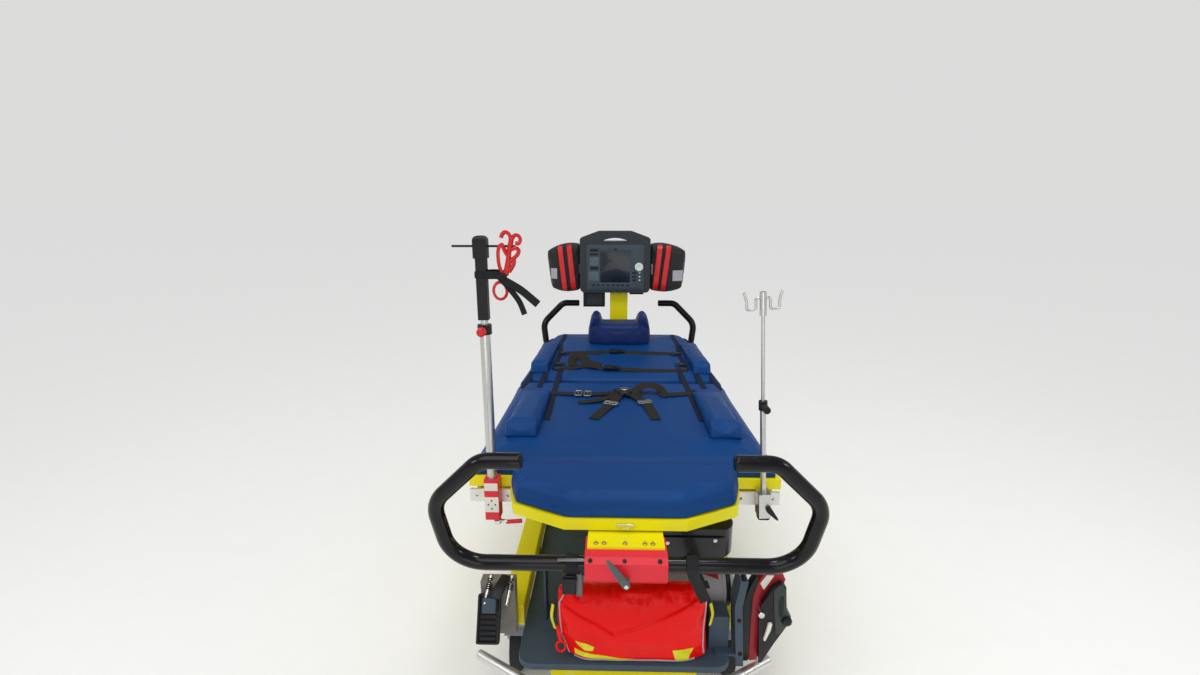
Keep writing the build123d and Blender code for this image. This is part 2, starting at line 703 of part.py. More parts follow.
# Headrest: a block with bevelled corners and a raised horn on each side
HEADREST_FRONT_Y = 615
HEADREST_LENGTH = 200
HEADREST_HALF = 166
HEADREST_MIDDLE = 106
HEADREST_HORN = 163
HORN_TOP_X = (114, 142)
HORN_FOOT_X = 98
HORN_WAIST = 52
FACET_HALF = 78
BEVEL_MIDDLE = (150, 17)
BEVEL_END = 75
with BuildPart() as headrest:
    with BuildSketch(front_plane(HEADREST_FRONT_Y + HEADREST_LENGTH, 0, pad_top)):
        with BuildLine():
            half = [
                (HEADREST_HALF, 0),
                (HEADREST_HALF, HORN_WAIST),
                (HORN_TOP_X[1], HEADREST_HORN),
                (HORN_TOP_X[0], HEADREST_HORN),
                (HORN_FOOT_X, HEADREST_MIDDLE),
            ]
            Polyline(*mirrored_outline(half), close=True)
        make_face()
    extrude(amount=HEADREST_LENGTH)
    with BuildSketch(Plane((0, HEADREST_FRONT_Y, pad_top))):
        with BuildLine():
            half = [
                (FACET_HALF, 0),
                BEVEL_MIDDLE,
                (HEADREST_HALF, BEVEL_END),
                (HEADREST_HALF, HEADREST_LENGTH),
            ]
            Polyline(*mirrored_outline(half), close=True)
        make_face()
    extrude(amount=HEADREST_HORN, mode=Mode.INTERSECT)
headrest.part.label = "headrest"
export_step(headrest.part, "parts/headrest.step")

# Straps lying over the mattress
STRAP_WIDTH = 46
STRAP_THICKNESS = 5
CHEST_STRAP_HALF = 300
CHEST_STRAPS_Y = (440, 200)
HIP_STRAP_HALF = 262
HIP_STRAP_Y = -170
HARNESS_BUCKLE_RADIUS = 34
HARNESS_BUCKLE_HEIGHT = 20
with BuildPart() as chest_straps:
    for strap_y in CHEST_STRAPS_Y:
        with BuildSketch(Plane.XY.offset(pad_top)):
            with Locations((0, strap_y)):
                Rectangle(2 * CHEST_STRAP_HALF, STRAP_WIDTH)
        extrude(amount=STRAP_THICKNESS)
chest_straps.part.label = "chest_straps"
export_step(chest_straps.part, "parts/chest_straps.step")

with BuildPart() as hip_harness:
    with BuildSketch(Plane.XY.offset(pad_top)):
        with Locations((0, HIP_STRAP_Y)):
            Rectangle(2 * HIP_STRAP_HALF, STRAP_WIDTH)
    extrude(amount=STRAP_THICKNESS)
    with BuildSketch(Plane.XY.offset(pad_top)):
        with Locations((0, HIP_STRAP_Y)):
            Circle(HARNESS_BUCKLE_RADIUS)
    extrude(amount=HARNESS_BUCKLE_HEIGHT)
hip_harness.part.label = "hip_harness"
export_step(hip_harness.part, "parts/hip_harness.step")

# Push handles: a bent tube at each end, leaning outwards
lean = radians(HANDLE_LEAN)
for name, end in ENDS:
    handle_plane = Plane(
        origin=(0, end * HANDLE_Y, HANDLE_Z),
        x_dir=(1, 0, 0),
        z_dir=(0, -cos(lean), end * sin(lean)),
    )
    with BuildPart() as push_handle:
        with BuildLine(handle_plane) as handle_path:
            half = [
                (HANDLE_FOOT_X, 0),
                (HANDLE_WIDE_X, HANDLE_WIDE_RISE),
                (HANDLE_GRIP_X, HANDLE_RISE),
                (HANDLE_END_X, HANDLE_RISE),
            ]
            bends = [HANDLE_LOW_BEND, HANDLE_MID_BEND, HANDLE_TOP_BEND]
            left_half = [(-x, rise) for x, rise in reversed(half)]
            FilletPolyline(*left_half, *half, radius=bends[::-1] + bends)
        tube_start = Plane(origin=handle_path.line @ 0, z_dir=handle_path.line % 0)
        with BuildSketch(tube_start):
            Circle(HANDLE_DIAMETER / 2)
        sweep()
        tube_ends = push_handle.faces().filter_by(GeomType.PLANE)
        fillet(tube_ends.edges(), HANDLE_END_ROUND)
    push_handle.part.label = f"push_handle_{name}"
    export_step(push_handle.part, f"parts/push_handle_{name}.step")

# Clamp blocks that hold the handles' bars, with their release levers
with BuildPart() as clamp_blocks:
    for name, end in ENDS:
        with BuildSketch(side_plane(-BLOCK_HALF_WIDTH, end * HANDLE_Y, HANDLE_Z)):
            with BuildLine():
                slope_end = BLOCK_OUTSIDE - BLOCK_TOP_BEVEL
                slope_top = BLOCK_ABOVE - BLOCK_TOP_SLOPE
                outline = [
                    (-BLOCK_INSIDE, -BLOCK_BELOW),
                    (BLOCK_OUTSIDE - BLOCK_UNDER_BEVEL, -BLOCK_BELOW),
                    (BLOCK_OUTSIDE, BLOCK_UNDER_BEVEL - BLOCK_BELOW),
                    (BLOCK_OUTSIDE, slope_top - BLOCK_TOP_BEVEL),
                    (slope_end, slope_top),
                    (BLOCK_FLAT, BLOCK_ABOVE),
                    (-BLOCK_INSIDE, BLOCK_ABOVE),
                ]
                Polyline(*[(end * y, z) for y, z in outline], close=True)
            make_face()
            Circle(HANDLE_DIAMETER / 2 + BLOCK_FIT, mode=Mode.SUBTRACT)
        extrude(amount=2 * BLOCK_HALF_WIDTH)
clamp_blocks.part.label = "clamp_blocks"
export_step(clamp_blocks.part, "parts/clamp_blocks.step")

with BuildPart() as clamp_levers:
    for name, end in ENDS:
        block_face = end * (HANDLE_Y + BLOCK_OUTSIDE)
        lever_plane = Plane(
            origin=(0, block_face, HANDLE_Z - LEVER_DROP), x_dir=(-end, 0, 0), z_dir=(0, end, 0)
        )
        with BuildSketch(lever_plane):
            Circle(LEVER_HUB_RADIUS)
        extrude(amount=LEVER_STANDOFF)
        turn = radians(LEVER_TURN)
        lever_way = Vector(-cos(turn), sin(turn))
        with BuildSketch(lever_plane.offset(LEVER_STANDOFF)):
            Circle(LEVER_HUB_RADIUS)
            with Locations(lever_way * (LEVER_LENGTH / 2)):
                Circle(LEVER_WAIST)
            with Locations(lever_way * LEVER_LENGTH):
                Circle(LEVER_TIP_RADIUS)
            make_hull()
        extrude(amount=LEVER_THICKNESS)
    outer_faces = clamp_levers.faces().filter_by(Axis.Y).sort_by(Axis.Y)
    fillet(outer_faces[0].edges() + outer_faces[-1].edges(), LEVER_ROUND)
clamp_levers.part.label = "clamp_levers"
export_step(clamp_levers.part, "parts/clamp_levers.step")

# Plates screwed on the blocks' flat tops, butting on the deck's end arms
with BuildPart() as bar_plates:
    for end, end_arm in ((-1, ARMS[0]), (1, ARMS[-1])):
        arm_face = abs(end_arm[0]) + ARM_WIDTH / 2
        with BuildSketch(Plane.XY.offset(block_top)):
            with Locations((0, end * (arm_face + plate_end) / 2)):
                Rectangle(2 * PLATE_HALF_WIDTH, plate_end - arm_face)
        extrude(amount=PLATE_THICKNESS)
bar_plates.part.label = "bar_plates"
export_step(bar_plates.part, "parts/bar_plates.step")

# Equipment rails on the wide section's front edge, on spacer blocks
arm_front = ARMS[1][0] - ARM_WIDTH / 2
with BuildPart() as equipment_rails:
    for side in (-1, 1):
        rail_mid = side * (EQUIP_INNER_X + EQUIP_OUTER_X) / 2
        rail_length = EQUIP_OUTER_X - EQUIP_INNER_X
        with BuildSketch(front_plane(EQUIP_FRONT_Y + EQUIP_THICKNESS, rail_mid, equip_middle_z)):
            Rectangle(rail_length, EQUIP_HEIGHT)
            with Locations((side * EQUIP_HOLES_X - rail_mid, 0)):
                with GridLocations(EQUIP_HOLE_PITCH, 1, 2, 1):
                    Circle(EQUIP_HOLE / 2, mode=Mode.SUBTRACT)
        extrude(amount=EQUIP_THICKNESS)
        with BuildSketch(front_plane(arm_front, rail_mid, equip_middle_z)):
            with GridLocations(SPACER_PITCH, 1, 2, 1):
                Rectangle(SPACER_WIDTH, SPACER_HEIGHT)
        extrude(amount=arm_front - EQUIP_FRONT_Y - EQUIP_THICKNESS)
equipment_rails.part.label = "equipment_rails"
export_step(equipment_rails.part, "parts/equipment_rails.step")

# Drive housing below the foot panel, hung from the deck's front arms
DRIVE_X = (98, 304)
DRIVE_Y = (-862, -680)
DRIVE_HEIGHT = 88
DRIVE_HANGER_HEIGHT = 12
DRIVE_HANGER_DEPTH = 20
DRIVE_END_ROUND = 50
DRIVE_EDGE_ROUND = 7
DRIVE_STEP = 22
DRIVE_STEP_DEPTH = 6
# Columns: right end of the hanger below an arm, middle Y
DRIVE_HANGERS = [(150, -852), (DRIVE_X[1], -690)]
drive_top = beam_top - DRIVE_HANGER_HEIGHT
with BuildPart() as drive_housing:
    with BuildSketch(Plane.XY.offset(drive_top)):
        with Locations((sum(DRIVE_X) / 2, sum(DRIVE_Y) / 2)):
            Rectangle(DRIVE_X[1] - DRIVE_X[0], DRIVE_Y[1] - DRIVE_Y[0])
        right_front = vertices().group_by(Axis.X)[-1].sort_by(Axis.Y)[0]
        fillet(right_front, DRIVE_END_ROUND)
    extrude(amount=-DRIVE_HEIGHT)
    fillet(drive_housing.faces().sort_by(Axis.Z)[0].edges(), DRIVE_EDGE_ROUND)
    with BuildSketch(front_plane(DRIVE_Y[0] + DRIVE_STEP_DEPTH)):
        with Locations((sum(DRIVE_X) / 2, drive_top - DRIVE_STEP / 2)):
            Rectangle(DRIVE_X[1] - DRIVE_X[0], DRIVE_STEP)
    extrude(amount=DRIVE_STEP_DEPTH, mode=Mode.SUBTRACT)
    for hanger_end, hanger_y in DRIVE_HANGERS:
        with BuildSketch(Plane.XY.offset(drive_top)):
            with Locations(((DRIVE_X[0] + hanger_end) / 2, hanger_y)):
                Rectangle(hanger_end - DRIVE_X[0], DRIVE_HANGER_DEPTH)
        extrude(amount=DRIVE_HANGER_HEIGHT)
drive_housing.part.label = "drive_housing"
export_step(drive_housing.part, "parts/drive_housing.step")

# Infusion poles, measured up each pole from the equipment rails' middle line
# Columns: x, lean, tube radius, rod radius, tube bottom, tube top, collar radius
POLES = {
    "left": (LEFT_POLE_X, 0, 14, 10, -33, 495, 19),
    "right": (RIGHT_POLE_X, RIGHT_POLE_LEAN, 8, 5, -17, 285, 12),
}
# Columns: pole, half width, bottom, top
CLAMPS = [("left", 21, -53, 71), ("right", 18, -37, 37)]
CLAMP_DEPTH = 44
CLAMP_CORNER = 3
CLAMP_FLOOR = 20
CLAMP_BORE_GAP = 0.2
for name, half_width, bottom, top in CLAMPS:
    pole_x, lean, tube_radius, *_ = POLES[name]
    clamp_y = EQUIP_FRONT_Y - CLAMP_DEPTH / 2
    with BuildPart() as pole_clamp:
        with BuildSketch(pole_plane(pole_x, clamp_y, lean, bottom)):
            RectangleRounded(2 * half_width, CLAMP_DEPTH, CLAMP_CORNER)
        extrude(amount=top - bottom)
        with BuildSketch(pole_plane(pole_x, POLE_Y, lean, bottom + CLAMP_FLOOR)):
            Circle(tube_radius + CLAMP_BORE_GAP)
        extrude(amount=top - bottom, mode=Mode.SUBTRACT)
    pole_clamp.part.label = f"pole_clamp_{name}"
    export_step(pole_clamp.part, f"parts/pole_clamp_{name}.step")

POLE_FIT = 0.05
COLLAR_HEIGHT = 26
COLLAR_KNOB_RADIUS = 10
COLLAR_KNOB_LENGTH = 34
KNOB_SEAT = 2
ROD_FOOT = 20
with BuildPart() as pole_tubes:
    for pole_x, lean, tube_radius, rod_radius, bottom, top, collar_radius in POLES.values():
        with BuildSketch(pole_plane(pole_x, POLE_Y, lean, bottom)):
            Circle(tube_radius)
            Circle(rod_radius + POLE_FIT, mode=Mode.SUBTRACT)
        extrude(amount=top - bottom)
pole_tubes.part.label = "pole_tubes"
export_step(pole_tubes.part, "parts/pole_tubes.step")

with BuildPart() as pole_collars:
    for pole_x, lean, tube_radius, rod_radius, bottom, top, collar_radius in POLES.values():
        collar_plane = pole_plane(pole_x, POLE_Y, lean, top)
        with BuildSketch(collar_plane):
            Circle(collar_radius)
            Circle(rod_radius + POLE_FIT, mode=Mode.SUBTRACT)
        extrude(amount=COLLAR_HEIGHT)
        knob_foot = pole_plane(pole_x, POLE_Y - rod_radius - KNOB_SEAT, lean, top + COLLAR_HEIGHT / 2)
        knob_plane = Plane(origin=knob_foot.origin, x_dir=knob_foot.x_dir, z_dir=(0, -1, 0))
        with BuildSketch(knob_plane):
            Circle(COLLAR_KNOB_RADIUS)
        extrude(amount=COLLAR_KNOB_LENGTH)
pole_collars.part.label = "pole_collars"
export_step(pole_collars.part, "parts/pole_collars.step")

# Columns: pole, top of the rod
ROD_TOPS = {"left": 535, "right": 550}
for name, rod_top in ROD_TOPS.items():
    pole_x, lean, tube_radius, rod_radius, bottom, *_ = POLES[name]
    with BuildPart() as pole_rod:
        with BuildSketch(pole_plane(pole_x, POLE_Y, lean, bottom + ROD_FOOT)):
            Circle(rod_radius)
        extrude(amount=rod_top - bottom - ROD_FOOT)
    pole_rod.part.label = f"pole_rod_{name}"
    export_step(pole_rod.part, f"parts/pole_rod_{name}.step")

# Left pole's head: a square post, a domed cap and a rod across it
POST_WIDTH = 28
POST_HEIGHT = 163
POST_CORNER = 3
CAP_WIDTH = 36
CAP_HEIGHT = 58
CAP_DOME = 12
CROSS_ROD_RADIUS = 3
CROSS_ROD_X = (-455, -290)
CROSS_ROD_BELOW_TOP = 27
with BuildPart() as pole_head_left:
    with BuildSketch(pole_plane(LEFT_POLE_X, POLE_Y, 0, ROD_TOPS["left"])):
        RectangleRounded(POST_WIDTH, POST_WIDTH, POST_CORNER)
    extrude(amount=POST_HEIGHT)
    with BuildSketch(pole_plane(LEFT_POLE_X, POLE_Y, 0, ROD_TOPS["left"] + POST_HEIGHT)):
        RectangleRounded(CAP_WIDTH, CAP_WIDTH, POST_CORNER)
    extrude(amount=CAP_HEIGHT)
    fillet(pole_head_left.faces().sort_by(Axis.Z)[-1].edges(), CAP_DOME)
    cross_rod_z = equip_middle_z + ROD_TOPS["left"] + POST_HEIGHT + CAP_HEIGHT - CROSS_ROD_BELOW_TOP
    with BuildSketch(side_plane(CROSS_ROD_X[0], POLE_Y, cross_rod_z)):
        Circle(CROSS_ROD_RADIUS)
    extrude(amount=CROSS_ROD_X[1] - CROSS_ROD_X[0])
pole_head_left.part.label = "pole_head_left"
export_step(pole_head_left.part, "parts/pole_head_left.step")

# Right pole's head: a sleeve with a bent hook on each side
SLEEVE_RADIUS = 9
SLEEVE_HEIGHT = 64
HOOK_ABOVE_SLEEVE_FOOT = 48
HOOK_RADIUS = 3.5
HOOK_BEND = 7
# Out from the pole and up: the wire's way from the sleeve to its tip
HOOK_WAY = [(0, 0), (19, 0), (19, -31), (43, -31), (43, -8), (50, 16)]
with BuildPart() as pole_head_right:
    sleeve_foot = ROD_TOPS["right"]
    with BuildSketch(pole_plane(RIGHT_POLE_X, POLE_Y, RIGHT_POLE_LEAN, sleeve_foot)):
        Circle(SLEEVE_RADIUS)
    extrude(amount=SLEEVE_HEIGHT)
    hook_height = sleeve_foot + HOOK_ABOVE_SLEEVE_FOOT
    across = pole_plane(RIGHT_POLE_X, POLE_Y, RIGHT_POLE_LEAN, hook_height)
    hook_plane = Plane(origin=across.origin, x_dir=across.x_dir, z_dir=(0, -1, 0))
    for hook_side in (-1, 1):
        with BuildLine(hook_plane) as hook_path:
            hook_points = [(hook_side * out, up) for out, up in HOOK_WAY]
            FilletPolyline(*hook_points, radius=HOOK_BEND)
        hook_start = Plane(origin=hook_path.line @ 0, z_dir=hook_path.line % 0)
        with BuildSketch(hook_start):
            Circle(HOOK_RADIUS)
        sweep(path=hook_path.line)
pole_head_right.part.label = "pole_head_right"
export_step(pole_head_right.part, "parts/pole_head_right.step")

# Monitor on its column, with a pouch on each side
MONITOR_COLUMN_WIDTH = 104
MONITOR_COLUMN_DEPTH = 44
MONITOR_COLUMN_WALL = 4
MONITOR_COLUMN_TOP = 1017
MONITOR_X = (-226, 178)
MONITOR_Y = (924, 1064)
MONITOR_HEIGHT = 292
MONITOR_ROUND = 26
SHOULDER_HEIGHT = 312
SHOULDER_ROUND = 16
CARRY_HEIGHT = 352
CARRY_HALF = 94
CARRY_ROUND = 40
CARRY_DEPTH = 70
CARRY_OVERLAP = 30
SLOT_HALF = 82
SLOT_RISE = 21
BEZEL_X = (-190, 146)
BEZEL_Z = (1027, 1296)
BEZEL_CORNER = 12
BEZEL_DEPTH = 3
SCREEN_X = (-110, 64)
SCREEN_Z = (1074, 1251)
SCREEN_CORNER = 3
SCREEN_DEPTH = 2
MONITOR_KNOB = (114, 1166)
MONITOR_KNOB_RADIUS = 23
MONITOR_KNOB_HEIGHT = 14
MONITOR_KNOB_ROUND = 3
BATTERY_X = (-210, -82)
BATTERY_Y = (950, 1050)
BATTERY_DROP = 88
BATTERY_CORNER = 8
POUCH_Z = (1020, 1300)
POUCH_Y = (930, 1052)
POUCH_CORNER = 20
LEFT_POUCH_X = (-420, -227)
RIGHT_POUCH_X = (179, 388)
monitor_mid_x = sum(MONITOR_X) / 2
monitor_half = (MONITOR_X[1] - MONITOR_X[0]) / 2
with BuildPart() as monitor_column:
    with BuildSketch(Plane((0, plate_end - MONITOR_COLUMN_DEPTH / 2, plate_top))):
        Rectangle(MONITOR_COLUMN_WIDTH, MONITOR_COLUMN_DEPTH)
        Rectangle(
            MONITOR_COLUMN_WIDTH - 2 * MONITOR_COLUMN_WALL,
            MONITOR_COLUMN_DEPTH - 2 * MONITOR_COLUMN_WALL,
            mode=Mode.SUBTRACT,
        )
    extrude(amount=MONITOR_COLUMN_TOP - plate_top)
monitor_column.part.label = "monitor_column"
export_step(monitor_column.part, "parts/monitor_column.step")

with BuildPart() as monitor:
    with BuildSketch(front_plane(MONITOR_Y[1], monitor_mid_x, MONITOR_COLUMN_TOP)):
        with Locations((0, MONITOR_HEIGHT / 2)):
            RectangleRounded(2 * monitor_half, MONITOR_HEIGHT, MONITOR_ROUND)
    extrude(amount=MONITOR_Y[1] - MONITOR_Y[0])
    # Carrying handle: the front part rises to an arch over a lens-shaped slot
    with BuildSketch(front_plane(MONITOR_Y[0] + CARRY_DEPTH, monitor_mid_x, MONITOR_COLUMN_TOP)):
        with BuildLine():
            half = [
                (monitor_half, MONITOR_HEIGHT - CARRY_OVERLAP),
                (monitor_half, SHOULDER_HEIGHT),
                (CARRY_HALF, CARRY_HEIGHT),
            ]
            Polyline(*mirrored_outline(half), close=True)
        make_face()
        fillet(vertices().group_by(Axis.Y)[-1], CARRY_ROUND)
        side_corners = vertices().group_by(Axis.X)
        upper_corners = [corners.sort_by(Axis.Y)[-1] for corners in (side_corners[0], side_corners[-1])]
        fillet(upper_corners, SHOULDER_ROUND)
        with BuildLine():
            slot_left = (-SLOT_HALF, MONITOR_HEIGHT)
            slot_right = (SLOT_HALF, MONITOR_HEIGHT)
            Line(slot_left, slot_right)
            ThreePointArc(slot_right, (0, MONITOR_HEIGHT + SLOT_RISE), slot_left)
        make_face(mode=Mode.SUBTRACT)
    extrude(amount=CARRY_DEPTH)
    # Columns: x from and to, z from and to, corner, depth behind the front
    recesses = [
        (BEZEL_X, BEZEL_Z, BEZEL_CORNER, BEZEL_DEPTH),
        (SCREEN_X, SCREEN_Z, SCREEN_CORNER, BEZEL_DEPTH + SCREEN_DEPTH),
    ]
    for (x_from, x_to), (z_from, z_to), corner, depth in recesses:
        recess_plane = front_plane(MONITOR_Y[0] + depth, (x_from + x_to) / 2, (z_from + z_to) / 2)
        with BuildSketch(recess_plane):
            RectangleRounded(x_to - x_from, z_to - z_from, corner)
        extrude(amount=depth, mode=Mode.SUBTRACT)
    with BuildSketch(front_plane(MONITOR_Y[0] + BEZEL_DEPTH, *MONITOR_KNOB)):
        Circle(MONITOR_KNOB_RADIUS)
    extrude(amount=MONITOR_KNOB_HEIGHT)
    fillet(monitor.faces().sort_by(Axis.Y)[0].edges(), MONITOR_KNOB_ROUND)
    # Battery box hung below the left half
    with BuildSketch(Plane.XY.offset(MONITOR_COLUMN_TOP)):
        with Locations((sum(BATTERY_X) / 2, sum(BATTERY_Y) / 2)):
            battery_width = BATTERY_X[1] - BATTERY_X[0]
            RectangleRounded(battery_width, BATTERY_Y[1] - BATTERY_Y[0], BATTERY_CORNER)
    extrude(amount=-BATTERY_DROP)
monitor.part.label = "monitor"
export_step(monitor.part, "parts/monitor.step")

with BuildPart() as monitor_pouches:
    for pouch_x in (LEFT_POUCH_X, RIGHT_POUCH_X):
        with BuildSketch(front_plane(POUCH_Y[1], sum(pouch_x) / 2, sum(POUCH_Z) / 2)):
            RectangleRounded(pouch_x[1] - pouch_x[0], POUCH_Z[1] - POUCH_Z[0], POUCH_CORNER)
        extrude(amount=POUCH_Y[1] - POUCH_Y[0])
monitor_pouches.part.label = "monitor_pouches"
export_step(monitor_pouches.part, "parts/monitor_pouches.step")

# Red equipment pouch, hung from the foot handle by two straps
BAG_X = (-188, 236)
BAG_Y = (-915, -815)
BAG_BOTTOM_GAP = 7
BAG_HEIGHT = 205
BAG_CORNER = 34
BAG_END_ROUND = 22
bag_bottom = platform_top + BAG_BOTTOM_GAP
bag_top = bag_bottom + BAG_HEIGHT
with BuildPart() as equipment_bag:
    with BuildSketch(side_plane(BAG_X[0])):
        with BuildLine():
            Polyline(
                (BAG_Y[0], bag_bottom),
                (BAG_Y[1], bag_bottom),
                (BAG_Y[1], bag_top),
                (BAG_Y[0] + BAG_CORNER, bag_top),
                (BAG_Y[0], bag_top - BAG_CORNER),
                close=True,
            )
        make_face()
    extrude(amount=BAG_X[1] - BAG_X[0])
    fillet(equipment_bag.faces().sort_by(Axis.Y)[0].edges().filter_by(Axis.Z), BAG_END_ROUND)
equipment_bag.part.label = "equipment_bag"
export_step(equipment_bag.part, "parts/equipment_bag.step")

# Columns: x at the handle's bar, x at the pouch
BAG_STRAPS_X = [(-133, -133), (163, 205)]
BAG_STRAP_WIDTH = 28
BAG_STRAP_THICKNESS = 2.5
BAG_STRAP_GAP = 0.8
strap_ring = HANDLE_DIAMETER / 2 + BAG_STRAP_GAP
tail_top_y = -HANDLE_Y + strap_ring + BAG_STRAP_THICKNESS / 2
tail_end_y = BAG_Y[0] + BAG_CORNER + BAG_STRAP_THICKNESS / 2
with BuildPart() as bag_straps:
    for bar_x, pouch_x in BAG_STRAPS_X:
        with BuildSketch(side_plane(bar_x - BAG_STRAP_WIDTH / 2, -HANDLE_Y, HANDLE_Z)):
            Circle(strap_ring + BAG_STRAP_THICKNESS)
            Circle(strap_ring, mode=Mode.SUBTRACT)
        extrude(amount=BAG_STRAP_WIDTH)
        with BuildSketch(Plane((bar_x, tail_top_y, HANDLE_Z))):
            Rectangle(BAG_STRAP_WIDTH, BAG_STRAP_THICKNESS)
        with BuildSketch(Plane((pouch_x, tail_end_y, bag_top))):
            Rectangle(BAG_STRAP_WIDTH, BAG_STRAP_THICKNESS)
        loft()
bag_straps.part.label = "bag_straps"
export_step(bag_straps.part, "parts/bag_straps.step")

# Gas cylinder across the platform, in a rack with two saddles
CYLINDER_RADIUS = 58
CYLINDER_Y = -735
CYLINDER_Z = 372
CYLINDER_X = (-70, 334)
CYLINDER_ROUND = 24
CYLINDER_NECK = 60
NECK_RADIUS = 15
CYLINDER_BAND_X = 296
CYLINDER_BAND_WIDTH = 14
CYLINDER_BAND_HEIGHT = 2.5
SADDLE_X = (-20, 246)
SADDLE_THICKNESS = 8
SADDLE_HALF = 66
RACK_X = (-240, 292)
RACK_BASE = 6
UPRIGHT_WIDTH = 60
UPRIGHT_HEIGHT = 180
with BuildPart() as gas_cylinder:
    with BuildSketch(side_plane(CYLINDER_X[0], CYLINDER_Y, CYLINDER_Z)):
        Circle(CYLINDER_RADIUS)
    extrude(amount=CYLINDER_X[1] - CYLINDER_X[0])
    round_edges = gas_cylinder.edges().filter_by(GeomType.CIRCLE)
    fillet(round_edges, CYLINDER_ROUND)
    with BuildSketch(side_plane(CYLINDER_X[0] - CYLINDER_NECK, CYLINDER_Y, CYLINDER_Z)):
        Circle(NECK_RADIUS)
    extrude(amount=CYLINDER_NECK + CYLINDER_ROUND)
    with BuildSketch(side_plane(CYLINDER_BAND_X, CYLINDER_Y, CYLINDER_Z)):
        Circle(CYLINDER_RADIUS + CYLINDER_BAND_HEIGHT)
    extrude(amount=CYLINDER_BAND_WIDTH)
gas_cylinder.part.label = "gas_cylinder"
export_step(gas_cylinder.part, "parts/gas_cylinder.step")

# Channel that carries the suction unit: out from the platform's edge, and height
CHANNEL_LEFT = [(22, 216), (8, 412), (20, 494)]
CHANNEL_WIDTH = 21
CHANNEL_Y = (-884, -824)
CHANNEL_WALL = 4
# Seats from the channel to the suction unit's frame
SEAT_HEIGHTS = (262, 400)
SEAT_HEIGHT = 24
SEAT_REACH = 59
SEAT_Y = (-866, -840)
FOOT_PLATE_DEPTH = 24
FOOT_PLATE_INSIDE = 38
# Finned box on the platform, in front of the cylinder's rack
BOX_X = (246, 302)
BOX_Y = (-860, -804)
BOX_HEIGHT = 110
FIN_PITCH = 12
FIN_COUNT = 4
FIN_WIDTH = 5
FIN_DEPTH = 5
channel_left = [(PLATFORM_HALF_WIDTH + out, z) for out, z in CHANNEL_LEFT]
channel_right = [(x + CHANNEL_WIDTH, z) for x, z in reversed(channel_left)]
with BuildPart() as platform_brackets:
    with BuildSketch(Plane.XY.offset(platform_top)):
        with Locations((sum(RACK_X) / 2, CYLINDER_Y)):
            Rectangle(RACK_X[1] - RACK_X[0], 2 * SADDLE_HALF)
    extrude(amount=RACK_BASE)
    for saddle_x in SADDLE_X:
        with BuildSketch(side_plane(saddle_x, CYLINDER_Y, CYLINDER_Z)):
            saddle_drop = CYLINDER_Z - platform_top
            with Locations((0, -saddle_drop / 2)):
                Rectangle(2 * SADDLE_HALF, saddle_drop)
            Circle(CYLINDER_RADIUS, mode=Mode.SUBTRACT)
        extrude(amount=SADDLE_THICKNESS)
    with BuildSketch(side_plane(RACK_X[0], CYLINDER_Y, platform_top)):
        with Locations((0, UPRIGHT_HEIGHT / 2)):
            Rectangle(UPRIGHT_WIDTH, UPRIGHT_HEIGHT)
    extrude(amount=RACK_BASE)
    # Channel: a folded sheet, its web to the front, on a foot plate
    with BuildSketch(front_plane(CHANNEL_Y[1])):
        with BuildLine():
            Polyline(*channel_left, *channel_right, close=True)
        make_face()
    extrude(amount=CHANNEL_Y[1] - CHANNEL_Y[0])
    with BuildSketch(front_plane(CHANNEL_Y[1])):
        with BuildLine():
            inner_left = [(x + CHANNEL_WALL, z) for x, z in channel_left]
            inner_right = [(x - CHANNEL_WALL, z) for x, z in channel_right]
            Polyline(*inner_left, *inner_right, close=True)
        make_face()
    extrude(amount=CHANNEL_Y[1] - CHANNEL_Y[0] - CHANNEL_WALL, mode=Mode.SUBTRACT)
    with BuildSketch(Plane.XY.offset(platform_top)):
        foot_inner_x = PLATFORM_HALF_WIDTH - FOOT_PLATE_INSIDE
        foot_outer_x = channel_left[0][0]
        foot_mid_y = CHANNEL_Y[0] + FOOT_PLATE_DEPTH / 2
        with Locations(((foot_inner_x + foot_outer_x) / 2, foot_mid_y)):
            Rectangle(foot_outer_x - foot_inner_x, FOOT_PLATE_DEPTH)
    extrude(amount=RACK_BASE)
    for seat_z in SEAT_HEIGHTS:
        with BuildSketch(front_plane(SEAT_Y[1], PLATFORM_HALF_WIDTH, seat_z)):
            with Locations(((CHANNEL_WIDTH + SEAT_REACH) / 2, 0)):
                Rectangle(SEAT_REACH - CHANNEL_WIDTH, SEAT_HEIGHT)
        extrude(amount=SEAT_Y[1] - SEAT_Y[0])
    # Finned box
    with BuildSketch(Plane.XY.offset(platform_top)):
        with Locations((sum(BOX_X) / 2, sum(BOX_Y) / 2)):
            Rectangle(BOX_X[1] - BOX_X[0], BOX_Y[1] - BOX_Y[0])
        with Locations((BOX_X[0], sum(BOX_Y) / 2)):
            with GridLocations(1, FIN_PITCH, 1, FIN_COUNT):
                Rectangle(2 * FIN_DEPTH, FIN_WIDTH, mode=Mode.SUBTRACT)
    extrude(amount=BOX_HEIGHT)
platform_brackets.part.label = "platform_brackets"
export_step(platform_brackets.part, "parts/platform_brackets.step")

# Suction unit: an arched frame beside the channel, with the pump's body on it
# Frame's outline: out from the platform's edge, and height
UNIT_ARCH = [
    (SEAT_REACH, 216),
    (SEAT_REACH, 430),
    (85, 500),
    (115, 508),
    (146, 498),
    (166, 440),
    (166, 216),
]
UNIT_BAND = 22
UNIT_ROUND = 20
UNIT_FRAME_Y = (-866, -826)
